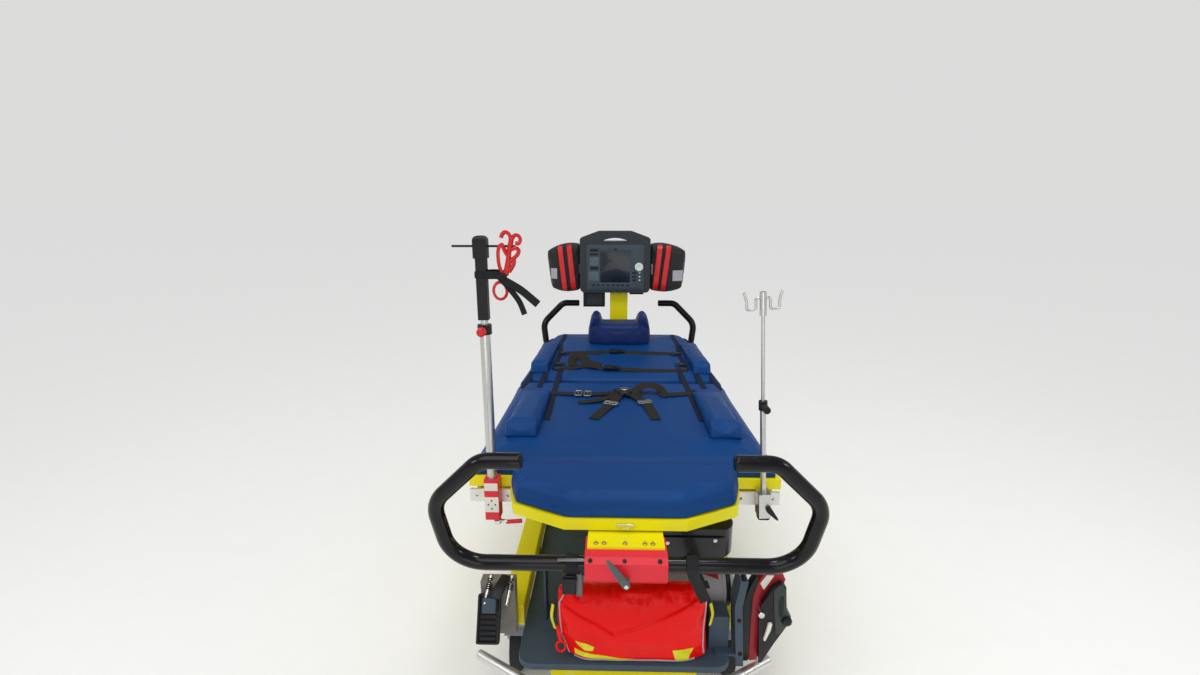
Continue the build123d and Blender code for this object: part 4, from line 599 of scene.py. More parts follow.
class Form:
    """A mesh in the making, in the trolley's frame."""

    def __init__(self) -> None:
        """Starts an empty mesh with a UV map."""
        self.mesh = bmesh.new()
        self.uv = self.mesh.loops.layers.uv.new("UVMap")

    def skin(self, rings: Sequence[Sequence[Vector]], caps: bool = True) -> None:
        """Joins closed rings of points with faces.

        Args:
            rings: Rings with the same number of points.
            caps: Whether the first and last ring are filled.
        """
        rows = [[self.mesh.verts.new(point) for point in ring] for ring in rings]
        count = len(rows[0])
        for low, high in zip(rows, rows[1:]):
            for index in range(count):
                after = (index + 1) % count
                self.mesh.faces.new((low[index], low[after], high[after], high[index]))
        if caps:
            self.mesh.faces.new(rows[0][::-1])
            self.mesh.faces.new(rows[-1])

    def prism(self, outline: Sequence[Vector], where: Matrix, depth: float) -> None:
        """A straight body with one outline.

        Args:
            outline: Points in the frame's plane.
            where: The frame.
            depth: Length along the frame's Z.
        """
        self.skin([[where @ Vector((*point[:2], height)) for point in outline] for height in (0.0, depth)])

    def dome(self, outline: Sequence[Vector], where: Matrix, depth: float, edge: float) -> None:
        """A straight body whose far rim is rounded over.

        Args:
            outline: Points in the frame's plane, about its origin.
            where: The frame.
            depth: Length along the frame's Z.
            edge: Radius of the rounded rim.
        """
        size = max(max(abs(point[0]), abs(point[1])) for point in outline)
        rings = [[Vector((point[0], point[1], 0.0)) for point in outline]]
        for step in range(RIM_STEPS + 1):
            angle = step / RIM_STEPS * pi / 2
            factor = 1 - edge / size * (1 - cos(angle))
            height = depth - edge * (1 - sin(angle))
            rings.append([Vector((point[0] * factor, point[1] * factor, height)) for point in outline])
        self.skin([[where @ point for point in ring] for ring in rings])

    def lathe(self, profile: Sequence[tuple[float, float]], where: Matrix, segments: int = 32) -> None:
        """A body of revolution about the frame's Z.

        Args:
            profile: Radius and height of each ring; a radius of 0 closes an end.
            where: The frame.
            segments: Segments around.
        """
        turns = [2 * pi * index / segments for index in range(segments)]
        rings = []
        for radius, height in profile:
            reach = max(radius, POINT_RADIUS)
            rings.append([where @ Vector((reach * cos(turn), reach * sin(turn), height)) for turn in turns])
        self.skin(rings)

    def tube(self, line: Sequence[Point], radius: float, sides: int = 16, flat: float = 1.0) -> None:
        """A round bar along a line.

        Args:
            line: The points of its middle.
            radius: Its radius.
            sides: Segments around.
            flat: Its thickness over its width.
        """
        points = [Vector(point) for point in line]
        ways = self.ways(points)
        side = ways[0].orthogonal().normalized()
        turns = [2 * pi * index / sides for index in range(sides)]
        rings = []
        for point, way in zip(points, ways):
            side = (side - way * side.dot(way)).normalized()
            other = way.cross(side) * flat
            rings.append([point + (side * cos(turn) + other * sin(turn)) * radius for turn in turns])
        self.skin(rings)

    @staticmethod
    def ways(points: Sequence[Vector]) -> list[Vector]:
        """The direction of a line at each of its points."""
        last = len(points) - 1
        return [(points[min(index + 1, last)] - points[max(index - 1, 0)]).normalized() for index in range(last + 1)]

    def strap(
        self, line: Sequence[Point], width: float, thickness: float,
        facing: Point | Sequence[Point] = (0.0, 0.0, 1.0), bow: float = 0.0,
    ) -> None:
        """A flat strap along a line, with its UV map in metres along and across.

        Args:
            line: The points of its middle.
            width: Its width.
            thickness: Its thickness.
            facing: The direction that its flat side faces, or one for each point.
            bow: How far its edges fall below its middle.
        """
        points = [Vector(point) for point in line]
        ways = self.ways(points)
        faces = facing if isinstance(facing[0], (Vector, tuple, list)) else [facing] * len(points)
        shape = [
            (-0.5, 0.0), (-0.46, 0.5), (-0.2, 0.56), (0.2, 0.56), (0.46, 0.5), (0.5, 0.0), (0.46, -0.5), (0.2, -0.5),
            (-0.2, -0.5), (-0.46, -0.5),
        ]
        rows, along, length = [], [], 0.0
        for index, (point, way, face) in enumerate(zip(points, ways, faces)):
            length += (point - points[index - 1]).length if index else 0.0
            up = (Vector(face) - way * Vector(face).dot(way)).normalized()
            side = way.cross(up)
            rows.append(
                [
                    self.mesh.verts.new(point + side * (x * width) + up * (y * thickness - bow * (2 * x) ** 2))
                    for x, y in shape
                ],
            )
            along.append(length)
        count = len(shape)
        for row in range(len(rows) - 1):
            for index in range(count):
                after = (index + 1) % count
                face = self.mesh.faces.new(
                    (rows[row][index], rows[row][after], rows[row + 1][after], rows[row + 1][index]),
                )
                spots = [(row, index), (row, after), (row + 1, after), (row + 1, index)]
                for loop, (at, place) in zip(face.loops, spots):
                    loop[self.uv].uv = (along[at], shape[place][0] * width)
        self.mesh.faces.new(rows[0][::-1])
        self.mesh.faces.new(rows[-1])

    def copy_node(self, node: str) -> None:
        """Takes over a CAD node's mesh, with its loose triangles merged."""
        self.mesh.from_mesh(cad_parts[node].data)
        bmesh.ops.remove_doubles(self.mesh, verts=self.mesh.verts, dist=LOOSE_MERGE)

    def make(self, name: str, finish: Finish, bevel: float = 0.0, segments: int = 2) -> Piece:
        """Ends the mesh and makes it an object.

        Args:
            name: The piece's name.
            finish: Its finish.
            bevel: Width of the rounded edges.
            segments: Segments of a rounded edge.

        Returns:
            The object, with its modifiers applied.
        """
        bmesh.ops.remove_doubles(self.mesh, verts=self.mesh.verts, dist=MERGE)
        bmesh.ops.recalc_face_normals(self.mesh, faces=self.mesh.faces)
        data = bpy.data.meshes.new(name)
        self.mesh.to_mesh(data)
        self.mesh.free()
        piece = show(bpy.data.objects.new(name, data))
        if bevel:
            rounding = piece.modifiers.new("edges", "BEVEL")
            rounding.width = bevel
            rounding.segments = segments
            rounding.limit_method = "ANGLE"
            rounding.angle_limit = BEVEL_ANGLE
        settle(piece, finish)
        return piece


def settle(piece: Piece, finish: Finish | None = None, angle: float = SMOOTH_ANGLE) -> None:
    """Turns an object with modifiers into its plain mesh, smooth but for its sharp edges.

    Args:
        piece: The object.
        finish: The finish that it gets, or none to keep what it has.
        angle: Edges sharper than this stay sharp.
    """
    bpy.context.view_layer.update()
    evaluated = piece.evaluated_get(bpy.context.evaluated_depsgraph_get())
    data = bpy.data.meshes.new_from_object(evaluated)
    piece.modifiers.clear()
    piece.data = data
    mesh = bmesh.new()
    mesh.from_mesh(data)
    for face in mesh.faces:
        face.smooth = True
    for edge in mesh.edges:
        edge.smooth = edge.calc_face_angle(0.0) < angle
    mesh.to_mesh(data)
    mesh.free()
    if finish is not None:
        data.materials.clear()
        data.materials.append(finish.material())


def show(thing: Piece) -> Piece:
    """Puts an object in the scene."""
    bpy.context.scene.collection.objects.link(thing)
    return thing


def fasten(pieces: Sequence[Piece], body: str, slots: Sequence[str]) -> list[Piece]:
    """Lets pieces ride on one body.

    Args:
        pieces: The pieces.
        body: The body that they move with.
        slots: Each piece's material slot, in the same order; not used.

    Returns:
        The pieces.
    """
    for piece, slot in zip(pieces, slots):
        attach(piece, body)
    return list(pieces)


def circle(middle: Point, radius: float, steps: int, high: float = 1.0) -> list[Point]:
    """A closed line round a middle in X and Z, from its +X side.

    Args:
        middle: The middle as x, y and z.
        radius: Its radius.
        steps: Segments around.
        high: Its height over its width.

    Returns:
        The line's points, the first also at its end.
    """
    turns = [2 * pi * step / steps for step in range(steps + 1)]
    x, y, z = middle
    return [(x + radius * cos(turn), y, z + radius * high * sin(turn)) for turn in turns]


class Ground:
    """The upper side of some pieces, on which straps lie."""

    def __init__(self, pieces: Sequence[Piece]) -> None:
        """Gathers the pieces' faces into one tree."""
        mesh = bmesh.new()
        for piece in pieces:
            mesh.from_mesh(piece.data)
        self.tree = BVHTree.FromBMesh(mesh)
        mesh.free()

    def height(self, x: float, y: float) -> float:
        """How high the pieces reach at a place, or the bare deck's height."""
        hit = self.tree.ray_cast(Vector((x, y, LOOK_HEIGHT)), Vector((0, 0, -1)))[0]
        return BARE_HEIGHT if hit is None else hit.z

    def lay(self, line: Sequence[Point], lift: float, taut: int = 0) -> list[Vector]:
        """Lays a line on the pieces.

        Args:
            line: The line in plan; a third number lifts it further.
            lift: How far it stays above the pieces.
            taut: How many times it is pulled straight over hollows.

        Returns:
            The line's points.
        """
        laid: list[Vector] = []
        for start, end in zip(line, line[1:]):
            a, b = Vector((*start, 0.0)[:3]), Vector((*end, 0.0)[:3])
            steps = max(1, round((b - a).length / LAY_SPACING))
            for step in range(steps + (end is line[-1])):
                spot = a.lerp(b, step / steps)
                laid.append(Vector((spot.x, spot.y, self.height(spot.x, spot.y) + lift + spot.z)))
        for _ in range(taut):
            for before, point, after in zip(laid, laid[1:], laid[2:]):
                point.z = max(point.z, (before.z + after.z) / 2)
        return laid


class Pattern:
    """A Geometry Nodes tree that grows pieces on points or along lines."""

    def __init__(self, name: str) -> None:
        """Starts a tree that takes a geometry and a material.

        Args:
            name: The tree's name.
        """
        self.tree = bpy.data.node_groups.new(name, "GeometryNodeTree")
        for way in ("INPUT", "OUTPUT"):
            self.tree.interface.new_socket("Seeds", in_out=way, socket_type="NodeSocketGeometry")
        self.sockets: dict[str, str] = {}
        self.size("Material", None, "NodeSocketMaterial")

    def size(self, name: str, value: float | None, kind: str = "NodeSocketFloat") -> None:
        """Adds a named input.

        Args:
            name: The input's name.
            value: Its value if none is given, or none.
            kind: Blender's type of the socket.
        """
        socket = self.tree.interface.new_socket(name, in_out="INPUT", socket_type=kind)
        if value is not None:
            socket.default_value = value
        self.sockets[name] = socket.identifier

    def node(
        self, kind: str, sockets: dict[str | int, "Socket | float | Sequence[float] | str"] | None = None,
        **settings: str | bool
    ) -> bpy.types.Node:
        """Adds a node: its settings first, then its sockets.

        Args:
            kind: Blender's type of the node.
            sockets: The values or links of its sockets, by name or number.
            settings: The node's own settings.

        Returns:
            The node.
        """
        node = self.tree.nodes.new(kind)
        for key, value in settings.items():
            setattr(node, key, value)
        for key, value in (sockets or {}).items():
            if isinstance(value, Socket):
                self.tree.links.new(value, node.inputs[key])
            else:
                node.inputs[key].default_value = value
        return node

    def given(self, name: str) -> Socket:
        """The output of a named input, or of the seeds."""
        return self.node("NodeGroupInput").outputs[name]

    def maths(self, operation: str, first: "Socket | float", second: "Socket | float" = 0.0) -> Socket:
        """The result of one Math node."""
        return self.node("ShaderNodeMath", {0: first, 1: second}, operation=operation).outputs[0]

    def vector(self, x: "Socket | float" = 0.0, y: "Socket | float" = 0.0, z: "Socket | float" = 0.0) -> Socket:
        """A vector of three numbers."""
        return self.node("ShaderNodeCombineXYZ", {0: x, 1: y, 2: z}).outputs[0]

    def shape(self, kind: str, sockets: dict[str, "Socket | float"] | None = None) -> Socket:
        """The first output of a new Geometry node."""
        return self.node(f"GeometryNode{kind}", sockets).outputs[0]

    def stood(self) -> Socket:
        """A turn that lays the Z axis along the seed's way."""
        way = self.node("GeometryNodeInputNamedAttribute", {"Name": "way"}, data_type="FLOAT_VECTOR")
        return self.node("FunctionNodeAlignRotationToVector", {"Vector": way.outputs[0]}, axis="Z").outputs[0]

    def plant(self, points: Socket, shape: Socket, turn: "Socket | Point") -> None:
        """Puts a shape on points, makes it real and ends the tree.

        Args:
            points: The points.
            shape: The shape.
            turn: Its turn on each point.
        """
        planted = self.shape("InstanceOnPoints", {"Points": points, "Instance": shape, "Rotation": turn})
        real = self.shape("RealizeInstances", {"Geometry": planted})
        dressed = self.shape("SetMaterial", {"Geometry": real, "Material": self.given("Material")})
        self.node("NodeGroupOutput", {0: dressed})

    def grow(self, name: str, seeds: bpy.types.Mesh, finish: Finish, **sizes: float) -> Piece:
        """Runs the tree on seeds.

        Args:
            name: The piece's name.
            seeds: The mesh that it grows on.
            finish: The finish of what grows.
            sizes: Values of the named inputs.

        Returns:
            The plain mesh object.
        """
        piece = show(bpy.data.objects.new(name, seeds))
        modifier = piece.modifiers.new(self.tree.name, "NODES")
        modifier.node_group = self.tree
        modifier[self.sockets["Material"]] = finish.material()
        for key, value in sizes.items():
            modifier[self.sockets[key]] = value
        settle(piece)
        return piece


def spots(places: Sequence[tuple[Point, Point]]) -> bpy.types.Mesh:
    """Seeds on points.

    Args:
        places: Each point with the direction that it faces.

    Returns:
        A mesh of loose points with their directions.
    """
    mesh = bpy.data.meshes.new("spots")
    mesh.from_pydata([tuple(place) for place, _ in places], [], [])
    ways = mesh.attributes.new("way", "FLOAT_VECTOR", "POINT")
    for index, (_, way) in enumerate(places):
        ways.data[index].vector = way
    return mesh


def traces(lines: Sequence[Sequence[Point]]) -> bpy.types.Mesh:
    """Seeds along lines.

    Args:
        lines: The points of each line.

    Returns:
        A mesh of edges, all facing up.
    """
    points: list[tuple[float, ...]] = []
    edges: list[tuple[int, int]] = []
    for line in lines:
        start = len(points)
        points += [tuple(point) for point in line]
        edges += [(start + index, start + index + 1) for index in range(len(line) - 1)]
    mesh = bpy.data.meshes.new("traces")
    mesh.from_pydata(points, edges, [])
    ways = mesh.attributes.new("way", "FLOAT_VECTOR", "POINT")
    for item in ways.data:
        item.vector = (0.0, 0.0, 1.0)
    return mesh


class Screws(Pattern):
    """Screw or bolt heads with a recess, each on a flat washer, facing the way of its point."""

    def __init__(self) -> None:
        """Draws the tree."""
        super().__init__("screws")
        self.size("Radius", 0.004)
        self.size("Height", 0.0025)
        self.size("Recess", 0.0012)
        self.size("Sides", 20, "NodeSocketInt")
        radius, height = self.given("Radius"), self.given("Height")
        head = self.shape("MeshCylinder", {"Vertices": self.given("Sides"), "Radius": radius, "Depth": height})
        lift = self.vector(z=self.maths("MULTIPLY", height, 0.7))
        raised = self.shape("Transform", {"Geometry": head, "Translation": lift})
        facing = self.node("ShaderNodeSeparateXYZ", {0: self.shape("InputNormal")}).outputs[2]
        upper = self.maths("GREATER_THAN", facing, 0.9)
        flat = {"Offset Scale": 0.0, "Individual": False}
        top = self.node("GeometryNodeExtrudeMesh", {"Mesh": raised, "Selection": upper, **flat})
        inner = {"Geometry": top.outputs["Mesh"], "Selection": top.outputs["Top"], "Scale": 0.58}
        deep = {"Offset Scale": self.maths("MULTIPLY", self.given("Recess"), -1.0), "Individual": False}
        narrow = self.shape("ScaleElements", inner)
        sunk = self.shape("ExtrudeMesh", {"Mesh": narrow, "Selection": top.outputs["Top"], **deep})
        wide, low = self.maths("MULTIPLY", radius, 1.45), self.maths("MULTIPLY", height, 0.6)
        washer = self.shape("MeshCylinder", {"Vertices": 24, "Radius": wide, "Depth": low})
        both = self.node("GeometryNodeJoinGeometry")
        for source in (sunk, washer):
            self.tree.links.new(source, both.inputs[0])
        points = self.shape("MeshToPoints", {"Mesh": self.given("Seeds")})
        self.plant(points, both.outputs[0], self.stood())


class Stitches(Pattern):
    """Rounded stitches, ribs or beads at an even pitch along lines."""

    def __init__(self) -> None:
        """Draws the tree."""
        super().__init__("stitches")
        self.size("Pitch", 0.005)
        self.size("Length", 0.0034)
        self.size("Width", 0.0009)
        self.size("Height", 0.0009)
        curve = self.shape("MeshToCurve", {"Mesh": self.given("Seeds")})
        even = self.node("GeometryNodeCurveToPoints", {"Curve": curve, "Length": self.given("Pitch")}, mode="LENGTH")
        ball = self.shape("MeshIcoSphere", {"Radius": 0.5, "Subdivisions": 2})
        size = self.vector(self.given("Length"), self.given("Width"), self.given("Height"))
        stitch = self.shape("Transform", {"Geometry": ball, "Scale": size})
        along = {"Rotation": self.stood(), "Vector": even.outputs["Tangent"]}
        turned = self.node("FunctionNodeAlignRotationToVector", along, axis="X", pivot_axis="Z")
        self.plant(even.outputs[0], stitch, turned.outputs[0])


class Treads(Pattern):
    """Tyres swept round the X axis of each seed, their section drawn by a rule with grooves."""

    def __init__(self) -> None:
        """Draws the tree."""
        super().__init__("treads")
        self.size("Radius", 0.1)
        self.size("Width", 0.036)
        self.size("Depth", 0.018)
        self.size("Grooves", 3.0)
        self.size("Groove depth", 0.0008)
        times = partial(self.maths, "MULTIPLY")
        width, depth = self.given("Width"), self.given("Depth")
        middle = self.maths("SUBTRACT", self.given("Radius"), times(depth, 0.5))
        path = self.shape("CurvePrimitiveCircle", {"Resolution": 96, "Radius": middle})
        ring = self.shape("CurvePrimitiveCircle", {"Resolution": 56, "Radius": 1.0})
        place = self.node("ShaderNodeSeparateXYZ", {0: self.shape("InputPosition")})
        out, side = (self.squared(place.outputs[axis]) for axis in range(2))
        wave = self.maths("COSINE", times(side, times(self.given("Grooves"), pi)))
        cut = self.maths("GREATER_THAN", self.maths("ABSOLUTE", wave), 0.93)
        outside = self.maths("GREATER_THAN", place.outputs[0], 0.25)
        groove = times(times(cut, outside), self.given("Groove depth"))
        crown = self.maths("SUBTRACT", times(out, times(depth, 0.5)), groove)
        where = self.vector(crown, times(side, times(width, 0.5)))
        section = self.shape("SetPosition", {"Geometry": ring, "Position": where})
        swept = self.shape("CurveToMesh", {"Curve": path, "Profile Curve": section})
        points = self.shape("MeshToPoints", {"Mesh": self.given("Seeds")})
        self.plant(points, swept, (0.0, pi / 2, 0.0))

    def squared(self, value: Socket) -> Socket:
        """A circle's coordinate pushed out towards a rounded square."""
        size = self.maths("POWER", self.maths("ABSOLUTE", value), 0.45)
        return self.maths("MULTIPLY", self.maths("SIGN", value), size)


@dataclass(frozen=True)
class Foam:
    """How a pad's plain form is turned into upholstered foam."""

    voxel: float = 0.009
    rounding: float = 0.01
    pressure: float = 4.0
    cap: float = 0.006
    fill: float = 0.8
    held_band: float = 0.004
    smoothing: int = 4

    def pad(self, name: str, node: str, finish: Finish, keep: Callable[[Vector], bool] | None = None) -> Piece:
        """Upholsters one CAD node.

        Args:
            name: The piece's name.
            node: The node whose form it takes.
            finish: Its finish.
            keep: Says for a point whether it stays where it is.

        Returns:
            The pad.
        """
        form = Form()
        form.copy_node(node)
        bmesh.ops.dissolve_limit(form.mesh, angle_limit=0.02, verts=form.mesh.verts, edges=form.mesh.edges)
        pad = form.make(name, finish, bevel=self.rounding, segments=3)
        return self.upholster(pad, finish, keep)

    def upholster(self, pad: Piece, finish: Finish, keep: Callable[[Vector], bool] | None = None) -> Piece:
        """Remeshes, swells and smooths a closed form.

        Args:
            pad: The form.
            finish: Its finish.
            keep: Says for a point whether it stays where it is.

        Returns:
            The same object, upholstered.
        """
        bottom = min(vertex.co.z for vertex in pad.data.vertices)
        remesh = pad.modifiers.new("remesh", "REMESH")
        remesh.mode = "VOXEL"
        remesh.voxel_size = self.voxel
        smooth = pad.modifiers.new("smooth", "SMOOTH")
        smooth.factor = 0.5
        smooth.iterations = self.smoothing
        settle(pad, finish)
        fixed = [
            vertex.co.z < bottom + self.held_band or (keep is not None and keep(vertex.co))
            for vertex in pad.data.vertices
        ]
        self.inflate(pad, fixed)
        rounds = pad.modifiers.new("rounds", "SUBSURF")
        rounds.levels = rounds.render_levels = 1
        settle(pad, finish, pi)
        return pad

    def inflate(self, pad: Piece, fixed: Sequence[bool]) -> None:
        """Swells a pad with Cloth, and caps how far each point moves.

        Args:
            pad: The pad.
            fixed: For each vertex, whether it is held.
        """
        rest = [vertex.co.copy() for vertex in pad.data.vertices]
        group = pad.vertex_groups.new(name="held")
        group.add([index for index, held in enumerate(fixed) if held], 1.0, "REPLACE")
        cloth = pad.modifiers.new("cloth", "CLOTH")
        cloth.settings.use_pressure = True
        cloth.settings.uniform_pressure_force = self.pressure
        cloth.settings.vertex_group_mass = "held"
        cloth.settings.effector_weights.gravity = 0.0
        cloth.settings.quality = 4
        cloth.point_cache.frame_end = CLOTH_FRAMES
        scene = bpy.context.scene
        for step in range(1, CLOTH_FRAMES + 1):
            scene.frame_set(step)
        evaluated = pad.evaluated_get(bpy.context.evaluated_depsgraph_get())
        swollen = [vertex.co.copy() for vertex in evaluated.data.vertices]
        pad.modifiers.clear()
        pad.vertex_groups.clear()
        scene.frame_set(1)
        for vertex, start, end, held in zip(pad.data.vertices, rest, swollen, fixed):
            move = end - start
            if move.length > self.cap:
                move *= self.cap / move.length
            vertex.co = start + (Vector() if held else move)


def press(piece: Piece, lines: Sequence[Sequence[Point]], width: float, depth: float, above: float) -> None:
    """Presses channels into the upper side of a pad.

    Args:
        piece: The pad.
        lines: The channels in plan.
        width: Half width of a channel.
        depth: How deep it is.
        above: Only points higher than this are pressed.
    """
    spans = [(Vector(start[:2]), Vector(end[:2])) for line in lines for start, end in zip(line, line[1:])]
    for vertex in piece.data.vertices:
        if vertex.co.z < above:
            continue
        spot = vertex.co.xy
        nearest = min(distance_to_span(spot, start, end) for start, end in spans)
        if nearest < 3 * width:
            vertex.co.z -= depth * exp(-((nearest / width) ** 2))
    piece.data.update()


def distance_to_span(spot: Vector, start: Vector, end: Vector) -> float:
    """The distance from a place to a straight span, in plan."""
    way = end - start
    share = min(1.0, max(0.0, (spot - start).dot(way) / way.length_squared))
    return (start + way * share - spot).length


@dataclass
class Mattress:
    """The pads of blue vinyl, their sewn channels and the navy bands on their edges."""

    vinyl: Finish
    head_vinyl: Finish
    band: Finish
    thread: Finish
    wide: Foam = Foam(voxel=0.0095, rounding=0.012, cap=0.005)
    small: Foam = Foam(voxel=0.0065, rounding=0.014, cap=0.007)
    fold_y: float = 0.03
    fold_reach: float = 0.055
    band_width: float = 0.024
    band_lift: float = 0.0012
    channel_width: float = 0.006
    channel_depth: float = 0.0045
    back_top: float = 0.76
    back_bands: Sequence[Sequence[Point]] = (
        mm((-308, 885), (-318, 660), (-298, 430), (-303, 170)), mm((308, 885), (316, 660), (297, 430), (305, 170)),
        ((-0.378, 0.86), (-0.392, 0.7)), ((0.372, 0.86), (0.388, 0.7)),
    )
    fold_bands: Sequence[Sequence[Point]] = (
        ((-0.332, 0.13), (-0.334, -0.09)), ((0.334, 0.13), (0.337, -0.09)),
        mm((-271, 160), (-267, -100), (-262, -440)), mm((264, 160), (270, -100), (273, -440)),
        ((-0.396, 0.14), (-0.401, -0.09)), ((0.396, 0.14), (0.401, -0.09)),
    )
    channels: Sequence[Sequence[Point]] = (((-0.3, 0.455), (0.3, 0.455)), ((-0.295, 0.165), (0.295, 0.165)))
    pads: dict[str, Piece] = field(default_factory=dict)

    def near_fold(self, point: Vector) -> bool:
        """Whether a point is so close to the fold that it keeps its place."""
        return abs(point.y - self.fold_y) < self.fold_reach

    def cushions(self) -> list[tuple[Piece, str]]:
        """The six pads on their bodies.

        Returns:
            Each pad with its body.
        """
        plan = [
            ("mattress_foot", "deck", self.small), ("mattress_seat", "deck", self.wide),
            ("mattress_back", "back_section", self.wide), ("hip_pads", "deck", self.small),
            ("shoulder_pads", "back_section", self.small), ("headrest", "back_section", self.small),
        ]
        made = []
        for node, body, foam in plan:
            vinyl = self.head_vinyl if node == "headrest" else self.vinyl
            pad = foam.pad(f"{node}_vinyl", node, vinyl, self.near_fold)
            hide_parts(node)
            self.pads[node] = pad
            made.append((pad, body))
        press(self.pads["mattress_back"], self.channels, self.channel_width, self.channel_depth, self.back_top)
        return made

    def bands(self, name: str, lines: Sequence[Sequence[Point]], ground: Ground) -> Piece:
        """Navy bands that lie on the pads.

        Args:
            name: The piece's name.
            lines: The bands' middles in plan.
            ground: What they lie on.

        Returns:
            The piece.
        """
        form = Form()
        for line in lines:
            form.strap(ground.lay(line, self.band_lift, taut=80), self.band_width, 0.0022, bow=0.0008)
        return form.make(name, self.band)

    def seams(self, stitches: Stitches) -> Piece:
        """Twin rows of thread beside the sewn channels."""
        ground = Ground([self.pads["mattress_back"]])
        rows = [
            ground.lay([(x, y + gap) for x, y in line], 0.0002)
            for line in self.channels for gap in (-0.008, 0.008)
        ]
        return stitches.grow("mattress_back_stitches", traces(rows), self.thread, Pitch=0.0065, Length=0.0042)

    def build(self, stitches: Stitches) -> list[Piece]:
        """Builds the pads, seams and bands.

        Args:
            stitches: The tree that sews.

        Returns:
            The pieces.
        """
        pieces = []
        for pad, body in self.cushions():
            pieces += fasten([pad], body, ["blue_vinyl"])
        wide = Ground([self.pads["mattress_back"], self.pads["mattress_seat"]])
        back = self.bands("mattress_back_bands", self.back_bands, wide)
        fold = self.bands("mattress_fold_bands", self.fold_bands, wide)
        sewn = self.seams(stitches)
        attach(back, "back_section")
        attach(sewn, "back_section")
        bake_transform(fold)
        return [*pieces, back, fold, sewn]


